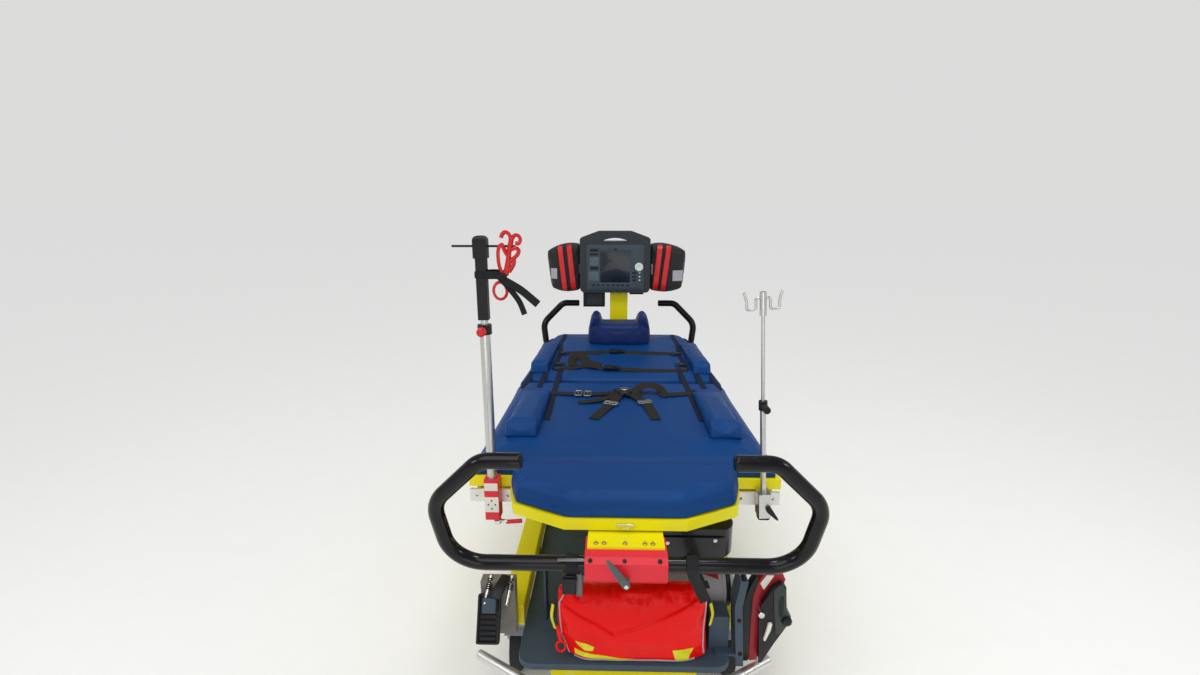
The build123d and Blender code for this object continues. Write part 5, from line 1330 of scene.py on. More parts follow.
@dataclass
class Restraints:
    """The chest straps and the hip harness, with their buckles."""

    webbing: Finish
    plastic: Finish
    steel: Finish
    thread: Finish
    mattress: Mattress
    width: float = 0.042
    thickness: float = 0.0024
    buckle: Point = (0.012, -0.17)
    buckle_radius: float = 0.031
    buckle_height: float = 0.019

    def side_release(self, form: Form, where: Matrix, width: float = 0.054) -> None:
        """A side-release buckle.

        Args:
            form: The form that it is added to.
            where: Its frame, x along the strap.
            width: Its width across the strap.
        """
        half = width / 2
        socket = [
            (-0.03, -half), (0.004, -half), (0.01, -half + 0.006), (0.01, half - 0.006), (0.004, half), (-0.03, half),
        ]
        form.dome(rounded(socket, 0.004), where @ level(0, 0, -0.003), 0.013, 0.003)
        for side in (-1, 1):
            arm = [
                (0.006, side * (half - 0.003)), (0.027, side * half), (0.03, side * (half - 0.009)),
                (0.01, side * (half - 0.012)),
            ]
            form.prism(rounded(arm[::side], 0.002), where, 0.007)
        form.prism(rounded(span((0.012, -0.006), (0.036, 0.006)), 0.002), where, 0.007)
        form.prism(rounded(span((0.03, -half + 0.003), (0.044, half - 0.003)), 0.003), where, 0.006)

    def slider(self, form: Form, where: Matrix, width: float = 0.052, height: float = 0.026) -> None:
        """A wire frame through which a strap is threaded, with its middle bar."""
        loop = rectangle(height, width, 0.005)
        ring = [where @ Vector((x, y, 0.002)) for x, y in (*loop, loop[0])]
        form.tube(ring, 0.0021, 10)
        form.tube([where @ Vector((0, side * width / 2, 0.003)) for side in (-1, 1)], 0.0019, 10)

    def chest(self) -> list[Piece]:
        """The two chest straps, slack and rumpled, with their clips at the mattress's slots."""
        ground = Ground([self.mattress.pads["mattress_back"]])
        straps = Form()
        upper = mm(
            (-300, 425), (-240, 436), (-140, 434, 4), (-60, 452, 6), (20, 449, 4), (100, 440, 2), (200, 434),
            (300, 424),
        )
        lower = mm(
            (-300, 165), (-220, 178, 2), (-155, 190, 10), (-85, 166, 8), (0, 150, 6), (100, 142, 2), (200, 140),
            (300, 150),
        )
        for line, tilt in ((upper, 0.35), (lower, 0.2)):
            smooth = curve_through([(*point, 0.0)[:3] for point in line])
            laid = ground.lay(smooth, 0.003)
            straps.strap(laid, self.width * 0.8, self.thickness, (0.0, -tilt, 1.0), bow=0.001)
        slack = mm(
            (-215, 205, 6), (-225, 245, 16), (-215, 290, 24), (-190, 300, 26), (-165, 275, 20), (-150, 235, 16),
            (-120, 200, 12), (-90, 178, 12),
        )
        smooth = curve_through(slack)
        laid = ground.lay(smooth, 0.002)
        straps.strap(laid, self.width, self.thickness, (0.25, -0.8, 0.75), bow=0.003)
        webbing = straps.make("chest_strap_webbing", self.webbing)

        fittings = Form()
        for x, y, turn in ((-0.045, 0.158, -0.12), (-0.02, 0.454, 0.05)):
            height = ground.height(x, y)
            self.side_release(fittings, level(x, y, height + 0.01) @ Matrix.Rotation(turn, 4, "Z"), 0.044)
        for side in (-1, 1):
            for y in (0.427, 0.232, 0.16):
                height = ground.height(side * 0.288, y)
                where = level(side * 0.288, y, height + 0.001)
                fittings.dome(rectangle(0.034, 0.022, 0.008), where, 0.009, 0.004)
                self.slider(fittings, where @ level(-side * 0.02, 0.0, 0.003), 0.04, 0.02)
        clips = fittings.make("chest_strap_fittings", self.plastic, bevel=0.0008)
        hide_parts("chest_straps")
        return fasten([webbing, clips], "back_section", ["black_webbing"] * 2)

    def hip(self, stitches: Stitches) -> list[Piece]:
        """The five-point hip harness round its rotary buckle."""
        seat = Ground([self.mattress.pads["mattress_seat"], self.mattress.pads["hip_pads"]])
        bx, by = self.buckle
        top = seat.height(bx, by)
        straps = Form()
        routes = [
            (
                [
                    (-0.275, -0.16), (-0.22, -0.176, 0.003), (-0.155, -0.186, 0.006), (-0.09, -0.186, 0.007),
                    (bx - 0.03, by - 0.004, 0.008),
                ],
                0.8,
            ),
            ([(-0.165, -0.268), (-0.12, -0.266, 0.004), (-0.07, -0.246, 0.007), (bx - 0.022, by - 0.02, 0.008)], 0.7),
            ([(bx - 0.018, by - 0.018, 0.008), (-0.036, -0.278, 0.005), (-0.078, -0.375, 0.002), (-0.1, -0.43)], 0.9),
            ([(bx + 0.024, by - 0.018, 0.008), (0.082, -0.265, 0.005), (0.105, -0.35, 0.002), (0.115, -0.43)], 0.9),
            (mm((150, -190, 4), (220, -172, 2), (295, -155)), 0.95),
        ]
        seams = []
        for route, share in routes:
            smooth = curve_through([(*point, 0.0)[:3] for point in route])
            laid = seat.lay(smooth, 0.003)
            straps.strap(laid, self.width * share, self.thickness, bow=0.0012)
            seams.append([point + Vector((0, 0, 0.0016)) for point in laid[2:8]])
        loop = [Vector((0.052, by - 0.028, top + 0.008))]
        for step in range(17):
            angle = pi * (1.05 - 1.15 * step / 16)
            loop.append(
                Vector(
                    (
                        0.108 + 0.05 * cos(angle), by - 0.014 + 0.028 * sin(angle),
                        top + 0.01 + 0.026 * max(sin(angle), 0.0) ** 0.8,
                    ),
                ),
            )
        loop.append(Vector((0.15, -0.196, top + 0.006)))
        straps.strap(
            curve_through(loop, 3), self.width, self.thickness, [(0.0, -0.25, 1.0)] * (3 * (len(loop) - 1) + 1),
            bow=0.001,
        )
        webbing = straps.make("hip_harness_webbing", self.webbing)
        sewn = stitches.grow("hip_harness_stitches", traces(seams), self.thread, Pitch=0.005, Length=0.003)

        body = Form()
        where = level(bx, by, top + 0.004)
        r, h = self.buckle_radius, self.buckle_height
        body.lathe(
            [
                (0.0, 0.0), (r, 0.0), (r + 0.001, h * 0.35), (r - 0.001, h * 0.72), (r - 0.006, h * 0.9),
                (r * 0.62, h), (r * 0.58, h - 0.002), (0.0, h - 0.0015),
            ],
            where, 48,
        )
        for turn in (150, 210, 250, 290, 0):
            spot = where @ Matrix.Rotation(radians(turn), 4, "Z") @ level(r - 0.002, 0, 0.004)
            body.dome(rounded(mm((0, -11), (17, -9), (17, 9), (0, 11)), 0.003), spot, 0.007, 0.002)
        shell = body.make("hip_buckle_body", self.plastic, bevel=0.0007)
        button = Form()
        button.lathe(
            [
                (0.0, h - 0.003), (r * 0.54, h - 0.003), (r * 0.54, h + 0.001), (r * 0.47, h + 0.0028),
                (0.0, h + 0.0032),
            ],
            where, 40,
        )
        self.slider(button, level(-0.04, -0.286, top + 0.006) @ Matrix.Rotation(pi / 2 - 0.42, 4, "Z"))
        self.slider(button, level(0.086, -0.272, top + 0.006) @ Matrix.Rotation(pi / 2 + 0.28, 4, "Z"))
        self.slider(button, level(-0.132, -0.187, top + 0.007))
        self.slider(button, level(-0.168, -0.183, top + 0.007))
        metal = button.make("hip_buckle_metal", self.steel)
        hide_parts("hip_harness")
        slots = ["black_webbing", "black_webbing", "black_plastic", "stainless_steel"]
        return fasten([webbing, sewn, shell, metal], "deck", slots)

    def build(self, stitches: Stitches) -> list[Piece]:
        """Builds the straps on both sections.

        Args:
            stitches: The tree that sews.

        Returns:
            The pieces.
        """
        return [*self.chest(), *self.hip(stitches)]


def lay_patch(
    form: Form, place: Callable[[float, float, float], Vector], corners: Sequence[Point], rows: int = 10,
) -> None:
    """Lays a thin four-cornered patch on a front that bulges.

    Args:
        form: The form that takes it.
        place: Gives the spot on the front at an x and a z, with a gap before it.
        corners: Its upper left, upper right, lower right and lower left corners as x and z.
        rows: Steps from its top to its bottom.
    """
    a, b, c, d = (Vector(corner) for corner in corners)
    columns = []
    for step in range(PATCH_STEPS + 1):
        high, low = a.lerp(b, step / PATCH_STEPS), d.lerp(c, step / PATCH_STEPS)
        way = [high.lerp(low, row / rows) for row in range(rows + 1)]
        outer = [place(spot.x, spot.y, PATCH_FRONT) for spot in way]
        inner = [place(spot.x, spot.y, PATCH_BACK) for spot in reversed(way)]
        columns.append(outer + inner)
    form.skin(columns)


@dataclass
class EquipmentPouch:
    """The red roll-top pouch below the foot handle, with its straps."""

    tarpaulin: Finish
    reflector: Finish
    # The piping's pale grey finish is painted highlight along the pouch's edges.
    piping: Finish
    webbing: Finish
    plastic: Finish
    steel: Finish
    foam: Foam = Foam(voxel=0.0055, rounding=0.0, cap=0.006, fill=0.7)
    left: float = -0.19
    right: float = 0.236
    bottom: float = 0.2525
    top: float = 0.466
    front: float = -0.911
    back: float = -0.82
    bar: Point = (-1.0, 0.632)
    bar_radius: float = 0.019
    flap_step: float = 0.0065
    flap_spread: float = 0.026
    rumple_depth: float = 0.003
    crumple_depth: float = 0.0055
    crease: Sequence[Point] = mm(
        (-190, 436), (-178, 432), (-144, 415), (-110, 399), (-71, 379), (-26, 347), (32, 373), (100, 401), (148, 427),
        (236, 474),
    )

    def section(self, x: float) -> list[Vector]:
        """The pouch's outline at one place along it, pinched towards its ends."""
        share = (x - self.left) / (self.right - self.left)
        pinch = 0.5 + 0.5 * min(1.0, 6.0 * max(0.0, min(share, 1 - share))) ** 0.6
        middle = (self.front + self.back) / 2
        half = (self.back - self.front) / 2 * pinch
        low = self.bottom - 0.003 * sin(pi * share) + 0.004 * (1 - pinch)
        high = self.top + 0.012 * (share - 0.5) - 0.004 * cos(5 * share)
        shape = [
            (-0.88, 0.0), (-1.01, 0.05), (-1.06, 0.38), (-1.0, 0.7), (-0.9, 0.9), (-0.62, 1.0), (-0.1, 1.015),
            (0.45, 0.99), (0.88, 0.93), (1.0, 0.7), (1.0, 0.35), (0.92, 0.0),
        ]
        lean = 0.034 * max(0.0, 1 - share / 0.3)
        return [
            Vector((x + lean * max(0.0, 1 - z / 0.42), middle + y * half, low + z * (high - low)))
            for y, z in shape
        ]

    def body(self) -> Piece:
        """The pouch itself, filled and sagging."""
        form = Form()
        places = [self.left + (self.right - self.left) * step / 26 for step in range(27)]
        form.skin([self.section(x) for x in places])
        pouch = form.make("equipment_pouch", self.tarpaulin)
        self.foam.upholster(pouch, self.tarpaulin)
        self.fold(pouch)
        return pouch

    def fold(self, pouch: Piece) -> None:
        """Steps the pouch's front out below the flap's V, so that the step faces up, and rumples it."""
        apex = min(self.crease, key=lambda spot: spot[1])[0]
        for vertex in pouch.data.vertices:
            x, y, z = vertex.co
            if y > (self.front + self.back) / 2:
                continue
            spans = zip(self.crease, self.crease[1:])
            edge = next((z0 + (z1 - z0) * (x - x0) / (x1 - x0) for (x0, z0), (x1, z1) in spans if x <= x1), 0.47)
            below = min(1.0, max(0.0, (edge + 0.002 - z) / 0.0065))
            fade = max(0.0, 1 - max(0.0, edge - z) / 0.11)
            above = min(1.0, max(0.0, (z - 0.424) / 0.03))
            rumple = noise.noise(Vector((x * 14, z * 20, 3.0)))
            crumple = noise.noise(Vector((x * 42, z * 46, 8.0)))
            step = self.flap_step + self.flap_spread * abs(x - apex)
            vertex.co.y -= step * below * below * (3 - 2 * below) * fade + self.rumple_depth * rumple
            vertex.co.y -= self.crumple_depth * above * crumple
            vertex.co.z += self.rumple_depth * above * crumple

    def front_at(self, ground: BVHTree, x: float, z: float, lift: float) -> Vector:
        """The pouch's surface nearest to a place at its front, with a gap before it."""
        hit = ground.ray_cast(Vector((x, -1.2, z)), Vector((0, 1, 0)))[0]
        if hit is None or hit.y > -0.87:
            hit = ground.find_nearest(Vector((x, self.front, z)))[0]
        return Vector((hit.x, hit.y - lift, hit.z))

    def patches(self, pouch: Piece) -> list[Piece]:
        """The yellow tabs and bands on the pouch's front, and its piping, whose pale grey colour is painted highlight
        along the pouch's edges.

        Args:
            pouch: The pouch.

        Returns:
            The tabs and the piping.
        """
        ground = Ground([pouch]).tree
        tabs = Form()
        for corners in (
            mm((-135, 323), (-106, 321), (-106, 294), (-124, 306)),
            mm((-106, 321), (-82, 309), (-86, 296), (-106, 294)), mm((135, 299), (193, 303), (181, 259), (146, 257)),
            mm((-138, 288), (-66, 280), (-66, 263), (-136, 270)), mm((-66, 280), (26, 263), (6, 260), (-66, 263)),
        ):
            lay_patch(tabs, partial(self.front_at, ground), corners)
        for line, bend in (
            (mm((-196.5, -898, 424), (-200, -905, 390), (-192, -904, 352)), -1),
            (mm((238, -896, 434), (243, -903, 405), (238, -902, 370)), 1),
        ):
            tabs.strap(curve_through(line), 0.01, 0.003, (bend, -0.9, 0.0))
        # Piping cords and bottom strip: their pale grey colour paints the highlights along the pouch's rounded edges.
        edge = Form()
        low = [self.front_at(ground, x / 100, 0.2565, 0.0008) for x in range(-14, 21)]
        edge.strap(low, 0.0065, 0.0022, (0, -1, -0.2))
        for side in (
            mm((-182, 462), (-188, 430), (-190, 400), (-190, 345), (-172, 312), (-153, 262)),
            mm((232, 466), (236, 430), (237, 400), (237, 330), (236, 270)),
        ):
            spine = [self.front_at(ground, spot.x, spot.y, 0.0004) for spot in curve_through(side, 6)]
            edge.tube(spine, 0.0022, 10)
        return [tabs.make("pouch_tabs", self.reflector), edge.make("pouch_piping", self.piping)]

    def knot(self) -> Piece:
        """The pull tag on the pouch's left end."""
        form = Form()
        form.tube(circle((-0.1755, -0.906, 0.2945), 0.0125, 24, 1.36), 0.0034, 12)
        tail = mm((-176, -907, 312), (-181, -903, 330), (-186, -893, 350))
        form.strap(curve_through(tail), 0.012, 0.003, (-0.6, -1.0, 0.2))
        return form.make("pouch_pull", self.tarpaulin)

    def loop_strap(self, form: Form, top_x: float, low_x: float, end: Point) -> None:
        """One strap from the pouch's back, round the handle's bar and down to the pouch's front edge.

        Args:
            form: The form that takes it.
            top_x: Its middle on the bar.
            low_x: Its middle on the pouch.
            end: Where it ends, as y and z.
        """
        bar_y, bar_z = self.bar
        reach = self.bar_radius + 0.0022
        knots = [((low_x, -0.85, self.top + 0.003), (0, 0.2, 1)), ((low_x, -0.89, self.top + 0.012), (0, 0.8, 0.7))]
        knots.append((((low_x + top_x) / 2, -0.95, 0.548), (0, 0.9, 0.5)))
        for step in range(9):
            turn = pi * step / 8
            away = (0.0, cos(turn), sin(turn))
            knots.append(((top_x, bar_y + reach * away[1], bar_z + reach * away[2]), away))
        first, last = Vector((top_x, bar_y - reach, bar_z - 0.012)), Vector((low_x, *end))
        knots += [(tuple(first.lerp(last, share)), (0, -1, 0.3)) for share in (0.12, 0.38, 0.66, 0.88, 1.0)]
        line = curve_through([spot for spot, _ in knots], 4)
        faces = []
        for index in range(len(line)):
            before, after = knots[index // 4][1], knots[min(index // 4 + 1, len(knots) - 1)][1]
            faces.append(Vector(before).lerp(Vector(after), index % 4 / 4))
        form.strap(line, 0.03, 0.0022, faces)

    def straps(self) -> list[Piece]:
        """The two straps that hold the pouch on the handle's bar, with their fittings."""
        webbing, fittings, metal = Form(), Form(), Form()
        self.loop_strap(webbing, -0.133, -0.136, (-0.902, 0.474))
        self.loop_strap(webbing, 0.163, 0.2205, (-0.911, 0.453))
        tilt = (0, -1, 0.35)
        for z in (0.594, 0.58, 0.566):
            where = axes((-0.14, -1.0175 + (0.594 - z) * 0.9, z), (1, 0, 0), tilt)
            fittings.prism(rectangle(0.036, 0.01, 0.002), where, 0.006)
        fittings.dome(rectangle(0.036, 0.046, 0.005), axes((-0.14, -1.01, 0.578), (1, 0, 0), tilt), 0.009, 0.003)
        metal.prism(rectangle(0.068, 0.008, 0.0015), axes((-0.133, -1.0225, 0.655), (1, 0, 0), (0, -0.5, 1)), 0.003)
        metal.dome(rectangle(0.016, 0.054, 0.003), axes((-0.1145, -1.012, 0.58), (1, 0, 0), tilt), 0.008, 0.003)
        return [
            webbing.make("pouch_strap_webbing", self.webbing),
            fittings.make("pouch_strap_buckle", self.plastic, bevel=0.0006),
            metal.make("pouch_strap_keeper", self.steel, bevel=0.0004),
        ]

    def build(self) -> list[Piece]:
        """Builds the pouch and hangs it on the deck's bar.

        Returns:
            The pieces.
        """
        pouch = self.body()
        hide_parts("equipment_bag")
        straps = self.straps()
        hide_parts("bag_straps")
        made = [pouch, *self.patches(pouch), self.knot(), *straps]
        slots = ["red_tarpaulin"] * 4 + ["black_webbing", "black_plastic", "stainless_steel"]
        return fasten(made, "deck", slots)


@dataclass
class PatientMonitor:
    """The monitor's face and the soft pouches on its sides."""

    panel: Finish
    keys: Finish
    glass: Finish
    rubber: Finish
    fabric: Finish
    stripe: Finish
    silver: Finish
    white: Finish
    face_y: float = 0.9258
    foam: Foam = Foam(voxel=0.006, rounding=0.012, cap=0.006, fill=0.75)

    @staticmethod
    def block(form: Form, low: Point, high: Point, y: float, depth: float, radius: float = 0.002) -> None:
        """Adds a flat block that faces the foot end.

        Args:
            form: The form that takes it.
            low: Its lower left corner as x and z.
            high: Its upper right corner as x and z.
            y: Where its back lies.
            depth: Its thickness.
            radius: Radius of its corners.
        """
        (x0, z0), (x1, z1) = low, high
        where = upright((x0 + x1) / 2, y, (z0 + z1) / 2)
        form.dome(rectangle(x1 - x0, z1 - z0, radius), where, depth, min(0.0012, depth / 2))

    def framed(
        self, name: str, outer: Sequence[Point], inner: Sequence[Point], finish: Finish, back: float, front: float,
    ) -> Piece:
        """A flat frame round a window.

        Args:
            name: The piece's name.
            outer: Its outer corners as x and z.
            inner: The window's corners.
            finish: Its finish.
            back: Where its back lies along Y.
            front: Where its front lies.

        Returns:
            The frame.
        """
        form = Form()
        shapes = (rounded(outer, 0.011), rounded(inner, 0.004))
        places = ((shapes[0], back), (shapes[0], front), (shapes[1], front), (shapes[1], back))
        form.skin([[Vector((x, y, z)) for x, z in shape] for shape, y in places], caps=False)
        return form.make(name, finish, bevel=0.0006)

    def face(self) -> list[Piece]:
        """The face's panel, screen, keys and knob, and the battery's rim."""
        outer = span((-0.1885, 1.0285), (0.1445, 1.2945))
        window = span((-0.1085, 1.0755), (0.0625, 1.2495))
        panel = self.framed("monitor_panel", outer, window, self.panel, 0.9272, self.face_y)
        screen = Form()
        self.block(screen, (-0.1095, 1.0745), (0.0635, 1.2505), 0.929, 0.0016)
        pale, dark, white = Form(), Form(), Form()
        for low, high in (((-0.169, 1.171), (-0.118, 1.221)), ((-0.176, 1.086), (-0.117, 1.139))):
            self.block(pale, low, high, self.face_y, 0.0012)
        for low, high in (
            ((-0.169, 1.254), (-0.121, 1.27)), ((-0.174, 1.233), (-0.121, 1.243)), ((-0.166, 1.151), (-0.121, 1.168)),
            ((-0.03, 1.262), (-0.014, 1.272)),
        ):
            self.block(dark, low, high, self.face_y, 0.0018, 0.004)
        for index in range(8):
            x = -0.149 + 0.0285 * index
            self.block(dark, (x - 0.008, 1.057), (x + 0.008, 1.066), self.face_y, 0.0022, 0.003)
        for z in (1.132, 1.11, 1.09):
            self.block(dark, (0.076, z - 0.005), (0.098, z + 0.005), self.face_y, 0.0022, 0.003)
            self.block(white, (0.114, z - 0.004), (0.123, z + 0.004), self.face_y, 0.0022, 0.003)
        self.block(dark, (0.062, 1.003), (0.144, 1.0165), 1.0, 0.048, 0.003)
        knob = mm((0, 0), (23.6, 0), (24, 1.2), (23.6, 13.2), (20.5, 15.2), (16, 15.6))
        white.lathe([*knob, (0.0145, 0.015), (0.0, 0.0148)], upright(0.114, 0.9275, 1.166), 40)
        battery_outer = span((-0.206, 0.933), (-0.086, 1.013))
        battery_inner = span((-0.192, 0.942), (-0.098, 1.006))
        return [
            panel, screen.make("monitor_screen", self.glass), pale.make("monitor_key_fields", self.keys),
            dark.make("monitor_keys", self.rubber), white.make("monitor_knob", self.white),
            self.framed("monitor_battery_rim", battery_outer, battery_inner, self.rubber, 0.9505, 0.947),
        ]

    def pouch(self, side: int) -> Piece:
        """One soft side pouch, narrower at its foot, its outer edge splayed.

        Args:
            side: -1 for the left one, 1 for the right one.

        Returns:
            The pouch.
        """
        inner, top, foot = (0.181, 0.384, 0.366) if side > 0 else (-0.229, -0.416, -0.391)
        form = Form()
        rings = []
        for step in range(17):
            share = step / 16
            half = 0.052 + 0.007 * sin(pi * min(1.0, 1.2 * share)) - 0.006 * share**3
            drop = 0.04 * max(0.0, (share - 0.45) / 0.55) ** 1.5
            low, high = 1.029 - 0.01 * sin(pi * share) + 0.012 * share**4, 1.298 - drop
            ring = []
            for y, t in [
                (-0.8, 0.0), (-1.0, 0.06), (-1.04, 0.5), (-1.0, 0.94), (-0.8, 1.0), (0.8, 1.0), (1.0, 0.94),
                (1.0, 0.06), (0.8, 0.0),
            ]:
                x = inner + (foot + (top - foot) * t - inner) * share
                ring.append(Vector((x, 0.99 + y * half, low + (high - low) * t)))
            rings.append(ring)
        form.skin(rings)
        name = "right" if side > 0 else "left"
        piece = form.make(f"side_pouch_{name}", self.fabric, bevel=0.005)
        return self.foam.upholster(piece, self.fabric)

    def trims(self, pouches: Sequence[Piece]) -> list[Piece]:
        """The red stripes, silver bands and piping on the side pouches.

        Args:
            pouches: The pouches.

        Returns:
            The stripes, the bands and the piping.
        """
        ground = Ground(pouches).tree

        def onto(x: float, z: float, lift: float) -> Vector:
            """A place on the pouches' front, with a gap before it."""
            hit = ground.ray_cast(Vector((x, 0.5, z)), Vector((0, 1, 0)))[0]
            return Vector((x, (hit.y if hit else 0.936) - lift, z))

        def slope(start: Point, end: Point, lift: float, shift: float = 0.0) -> list[Vector]:
            """A line up a pouch's front."""
            spots_along = [step / 26 for step in range(27)]
            return [
                onto(start[0] + shift + (end[0] - start[0]) * k, start[1] + (end[1] - start[1]) * k, lift)
                for k in spots_along
            ]

        stripes, bands, cords = Form(), Form(), Form()
        for start, end in (
            ((-0.315, 1.03), (-0.341, 1.284)), ((-0.264, 1.034), (-0.289, 1.291)), ((0.2095, 1.034), (0.234, 1.292)),
            ((0.254, 1.028), (0.284, 1.286)),
        ):
            sides = ((end, -0.014), (end, 0.014), (start, 0.014), (start, -0.014))
            lay_patch(stripes, onto, [(spot[0] + shift, spot[1]) for spot, shift in sides], 26)
            for shift in (-0.0175, 0.0175):
                cords.tube(slope(start, end, 0.0008, shift), 0.003, 8)
        for start, end, low, width in (
            (-0.359, -0.397, 1.126, 0.061), (0.309, 0.371, 1.116, 0.061), (-0.234, -0.22, 1.152, 0.058),
            (0.184, 0.193, 1.152, 0.06),
        ):
            high, foot = low + width / 2, low - width / 2
            lay_patch(bands, onto, [(start, high), (end, high), (end, foot), (start, foot)])
        return [
            stripes.make("side_pouch_stripes", self.stripe), bands.make("side_pouch_bands", self.silver),
            cords.make("side_pouch_piping", self.rubber),
        ]

    def build(self) -> list[Piece]:
        """Builds the face and the pouches, all on the deck.

        Returns:
            The pieces.
        """
        face = self.face()
        pouches = [self.pouch(-1), self.pouch(1)]
        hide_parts("monitor_pouches")
        made = [*face, *pouches, *self.trims(pouches)]
        slots = ["monitor_plastic", "black_gloss", "lever_grey", "black_plastic", "rail_aluminium", "black_plastic"]
        slots += ["pouch_fabric", "pouch_fabric", "red_paint", "anodised_aluminium", "black_plastic"]
        return fasten(made, "deck", slots)


@dataclass
class InfusionPoles:
    """The fittings of the left pole: its strap, hangers and knob, and the plates and screw of its clamp."""

    plastic: Finish
    red: Finish
    steel: Finish
    webbing: Finish
    plate: Finish
    x: float = -0.38
    y: float = -0.764
    hanger_y: float = -0.7735
    clamp_front: float = -0.786
    curls: Sequence[Sequence[Point]] = (
        mm(
            (-324, 1416), (-319, 1426), (-310, 1430), (-301, 1422), (-300, 1408), (-304, 1392), (-309, 1360),
            (-314, 1338), (-319, 1320),
        ),
        mm((-309, 1372), (-315, 1383), (-322, 1398), (-330, 1391), (-333, 1372), (-331, 1345), (-323, 1322)),
        mm(
            (-287, 1402), (-278, 1402), (-274, 1412), (-279, 1421), (-288, 1422), (-295, 1413), (-298, 1400),
            (-303, 1380), (-305, 1361), (-307, 1339), (-313, 1320),
        ),
        mm((-298, 1386), (-287, 1390), (-279, 1383), (-284, 1371), (-295, 1362), (-305, 1352)),
        mm((-292, 1361), (-294, 1347), (-306, 1328)),
    )

    def hangers(self) -> Piece:
        """The red curled hangers on the cross rod's right end, with the ring below them."""
        form = Form()
        for index, curl in enumerate(self.curls):
            line = [(x, self.hanger_y - 0.0012 * (index % 2), z) for x, z in curl]
            form.tube(curve_through(line), 0.006, 12, 0.72)
        form.tube(circle((-0.33, self.hanger_y - 0.005, 1.2795), 0.0175, 32, 1.2857), 0.005, 12, 0.7)
        return form.make("left_pole_hangers", self.red)

    def strap(self) -> Piece:
        """The strap wound round the square post and knotted on the hangers, with its two tails."""
        form = Form()
        loop = rectangle(0.0316, 0.0316, 0.005, 3)
        loop = [*loop, loop[0]]
        ring = [(self.x + spot[0], self.y + spot[1], 1.3205 - 0.02 * spot[0]) for spot in loop]
        form.strap(ring, 0.018, 0.002, [(spot[0], spot[1], 0.0) for spot in loop])
        bridge = mm((-368, -781.5, 1320), (-350, -783.5, 1320.5), (-334, -785, 1320), (-321, -785, 1314))
        form.strap(curve_through(bridge), 0.02, 0.0022, (0.0, -1.0, 0.1))
        behind = mm((-366, -750, 1324), (-345, -760, 1326), (-322, -766, 1324), (-312, -776, 1317))
        form.strap(curve_through(behind), 0.016, 0.0022, (0.2, 1.0, 0.1))
        for tail, width in (
            (
                mm(
                    (-328, -786.2, 1319), (-318, -789, 1309), (-299, -788, 1298), (-271, -784, 1279),
                    (-232, -779, 1244),
                ),
                0.0205,
            ),
            (
                mm(
                    (-326, -785, 1312), (-308, -784, 1290), (-289, -783, 1265), (-278, -782, 1246), (-268, -780, 1217),
                ),
                0.015,
            ),
        ):
            form.strap(curve_through(tail), width, 0.0022, (0.12, -1.0, 0.15), bow=0.0006)
        knot = axes((-0.323, -0.783, 1.3165), (1, 0, -0.5), (0, -1, 0))
        form.dome(rectangle(0.022, 0.019, 0.005), knot, 0.01, 0.004)
        return form.make("left_pole_strap", self.webbing)

    def clamp(self) -> list[Piece]:
        """The pale plates of the left clamp, and the bright screw below it with its red grip."""
        plates = Form()
        plates.dome(rectangle(0.0385, 0.023, 0.0015), upright(self.x, self.clamp_front, 0.7165), 0.0016, 0.0006)
        plates.dome(rectangle(0.04, 0.0475, 0.0015), upright(self.x, self.clamp_front, 0.661), 0.0016, 0.0006)
        screw, grip = Form(), Form()
        stem = mm((0, 0), (6.2, 0), (6.2, 10), (11, 10.5), (11, 20.5), (8.5, 23), (0, 23.2))
        screw.lathe(stem, axes((-0.371, -0.766, 0.612), (1, 0, 0), (0.15, 0, -1)), 24)
        screw.tube(mm((-366, -768, 600), (-350, -774, 603), (-338, -778, 602)), 0.0045, 12)
        grip.tube(mm((-341, -777, 601), (-322, -781, 605), (-296, -784, 609)), 0.0062, 12, 0.8)
        knob = mm((0, 0), (10.8, 0), (12.2, 3), (12.8, 10), (11.8, 17.5), (8, 20.5), (0, 21))
        grip.lathe(knob, upright(self.x, self.y - 0.0275, 1.173), 32)
        return [
            plates.make("left_clamp_plates", self.plate), screw.make("left_clamp_screw", self.steel),
            grip.make("left_pole_grips", self.red),
        ]

    def build(self, screws: Screws) -> list[Piece]:
        """Builds the fittings.

        Args:
            screws: The tree that makes screw heads.

        Returns:
            The pieces.
        """
        front = self.clamp_front - 0.0016
        dots = [(self.x + x, front, 0.6615 + z) for x, z in mm((0, 12.5), (-9.5, 0), (10.5, 0), (0, -12.5))]
        seeds = spots([(dot, (0, -1, 0)) for dot in dots])
        heads = screws.grow("left_clamp_screws", seeds, self.plastic, Radius=0.0017, Height=0.0012, Recess=0.0006)
        made = [self.strap(), self.hangers(), *self.clamp(), heads]
        slots = ["rail_aluminium", "stainless_steel", "red_paint", "black_plastic"]
        return [*fasten(made[:2], "pole_left", ["black_webbing", "red_paint"]), *fasten(made[2:], "deck", slots)]


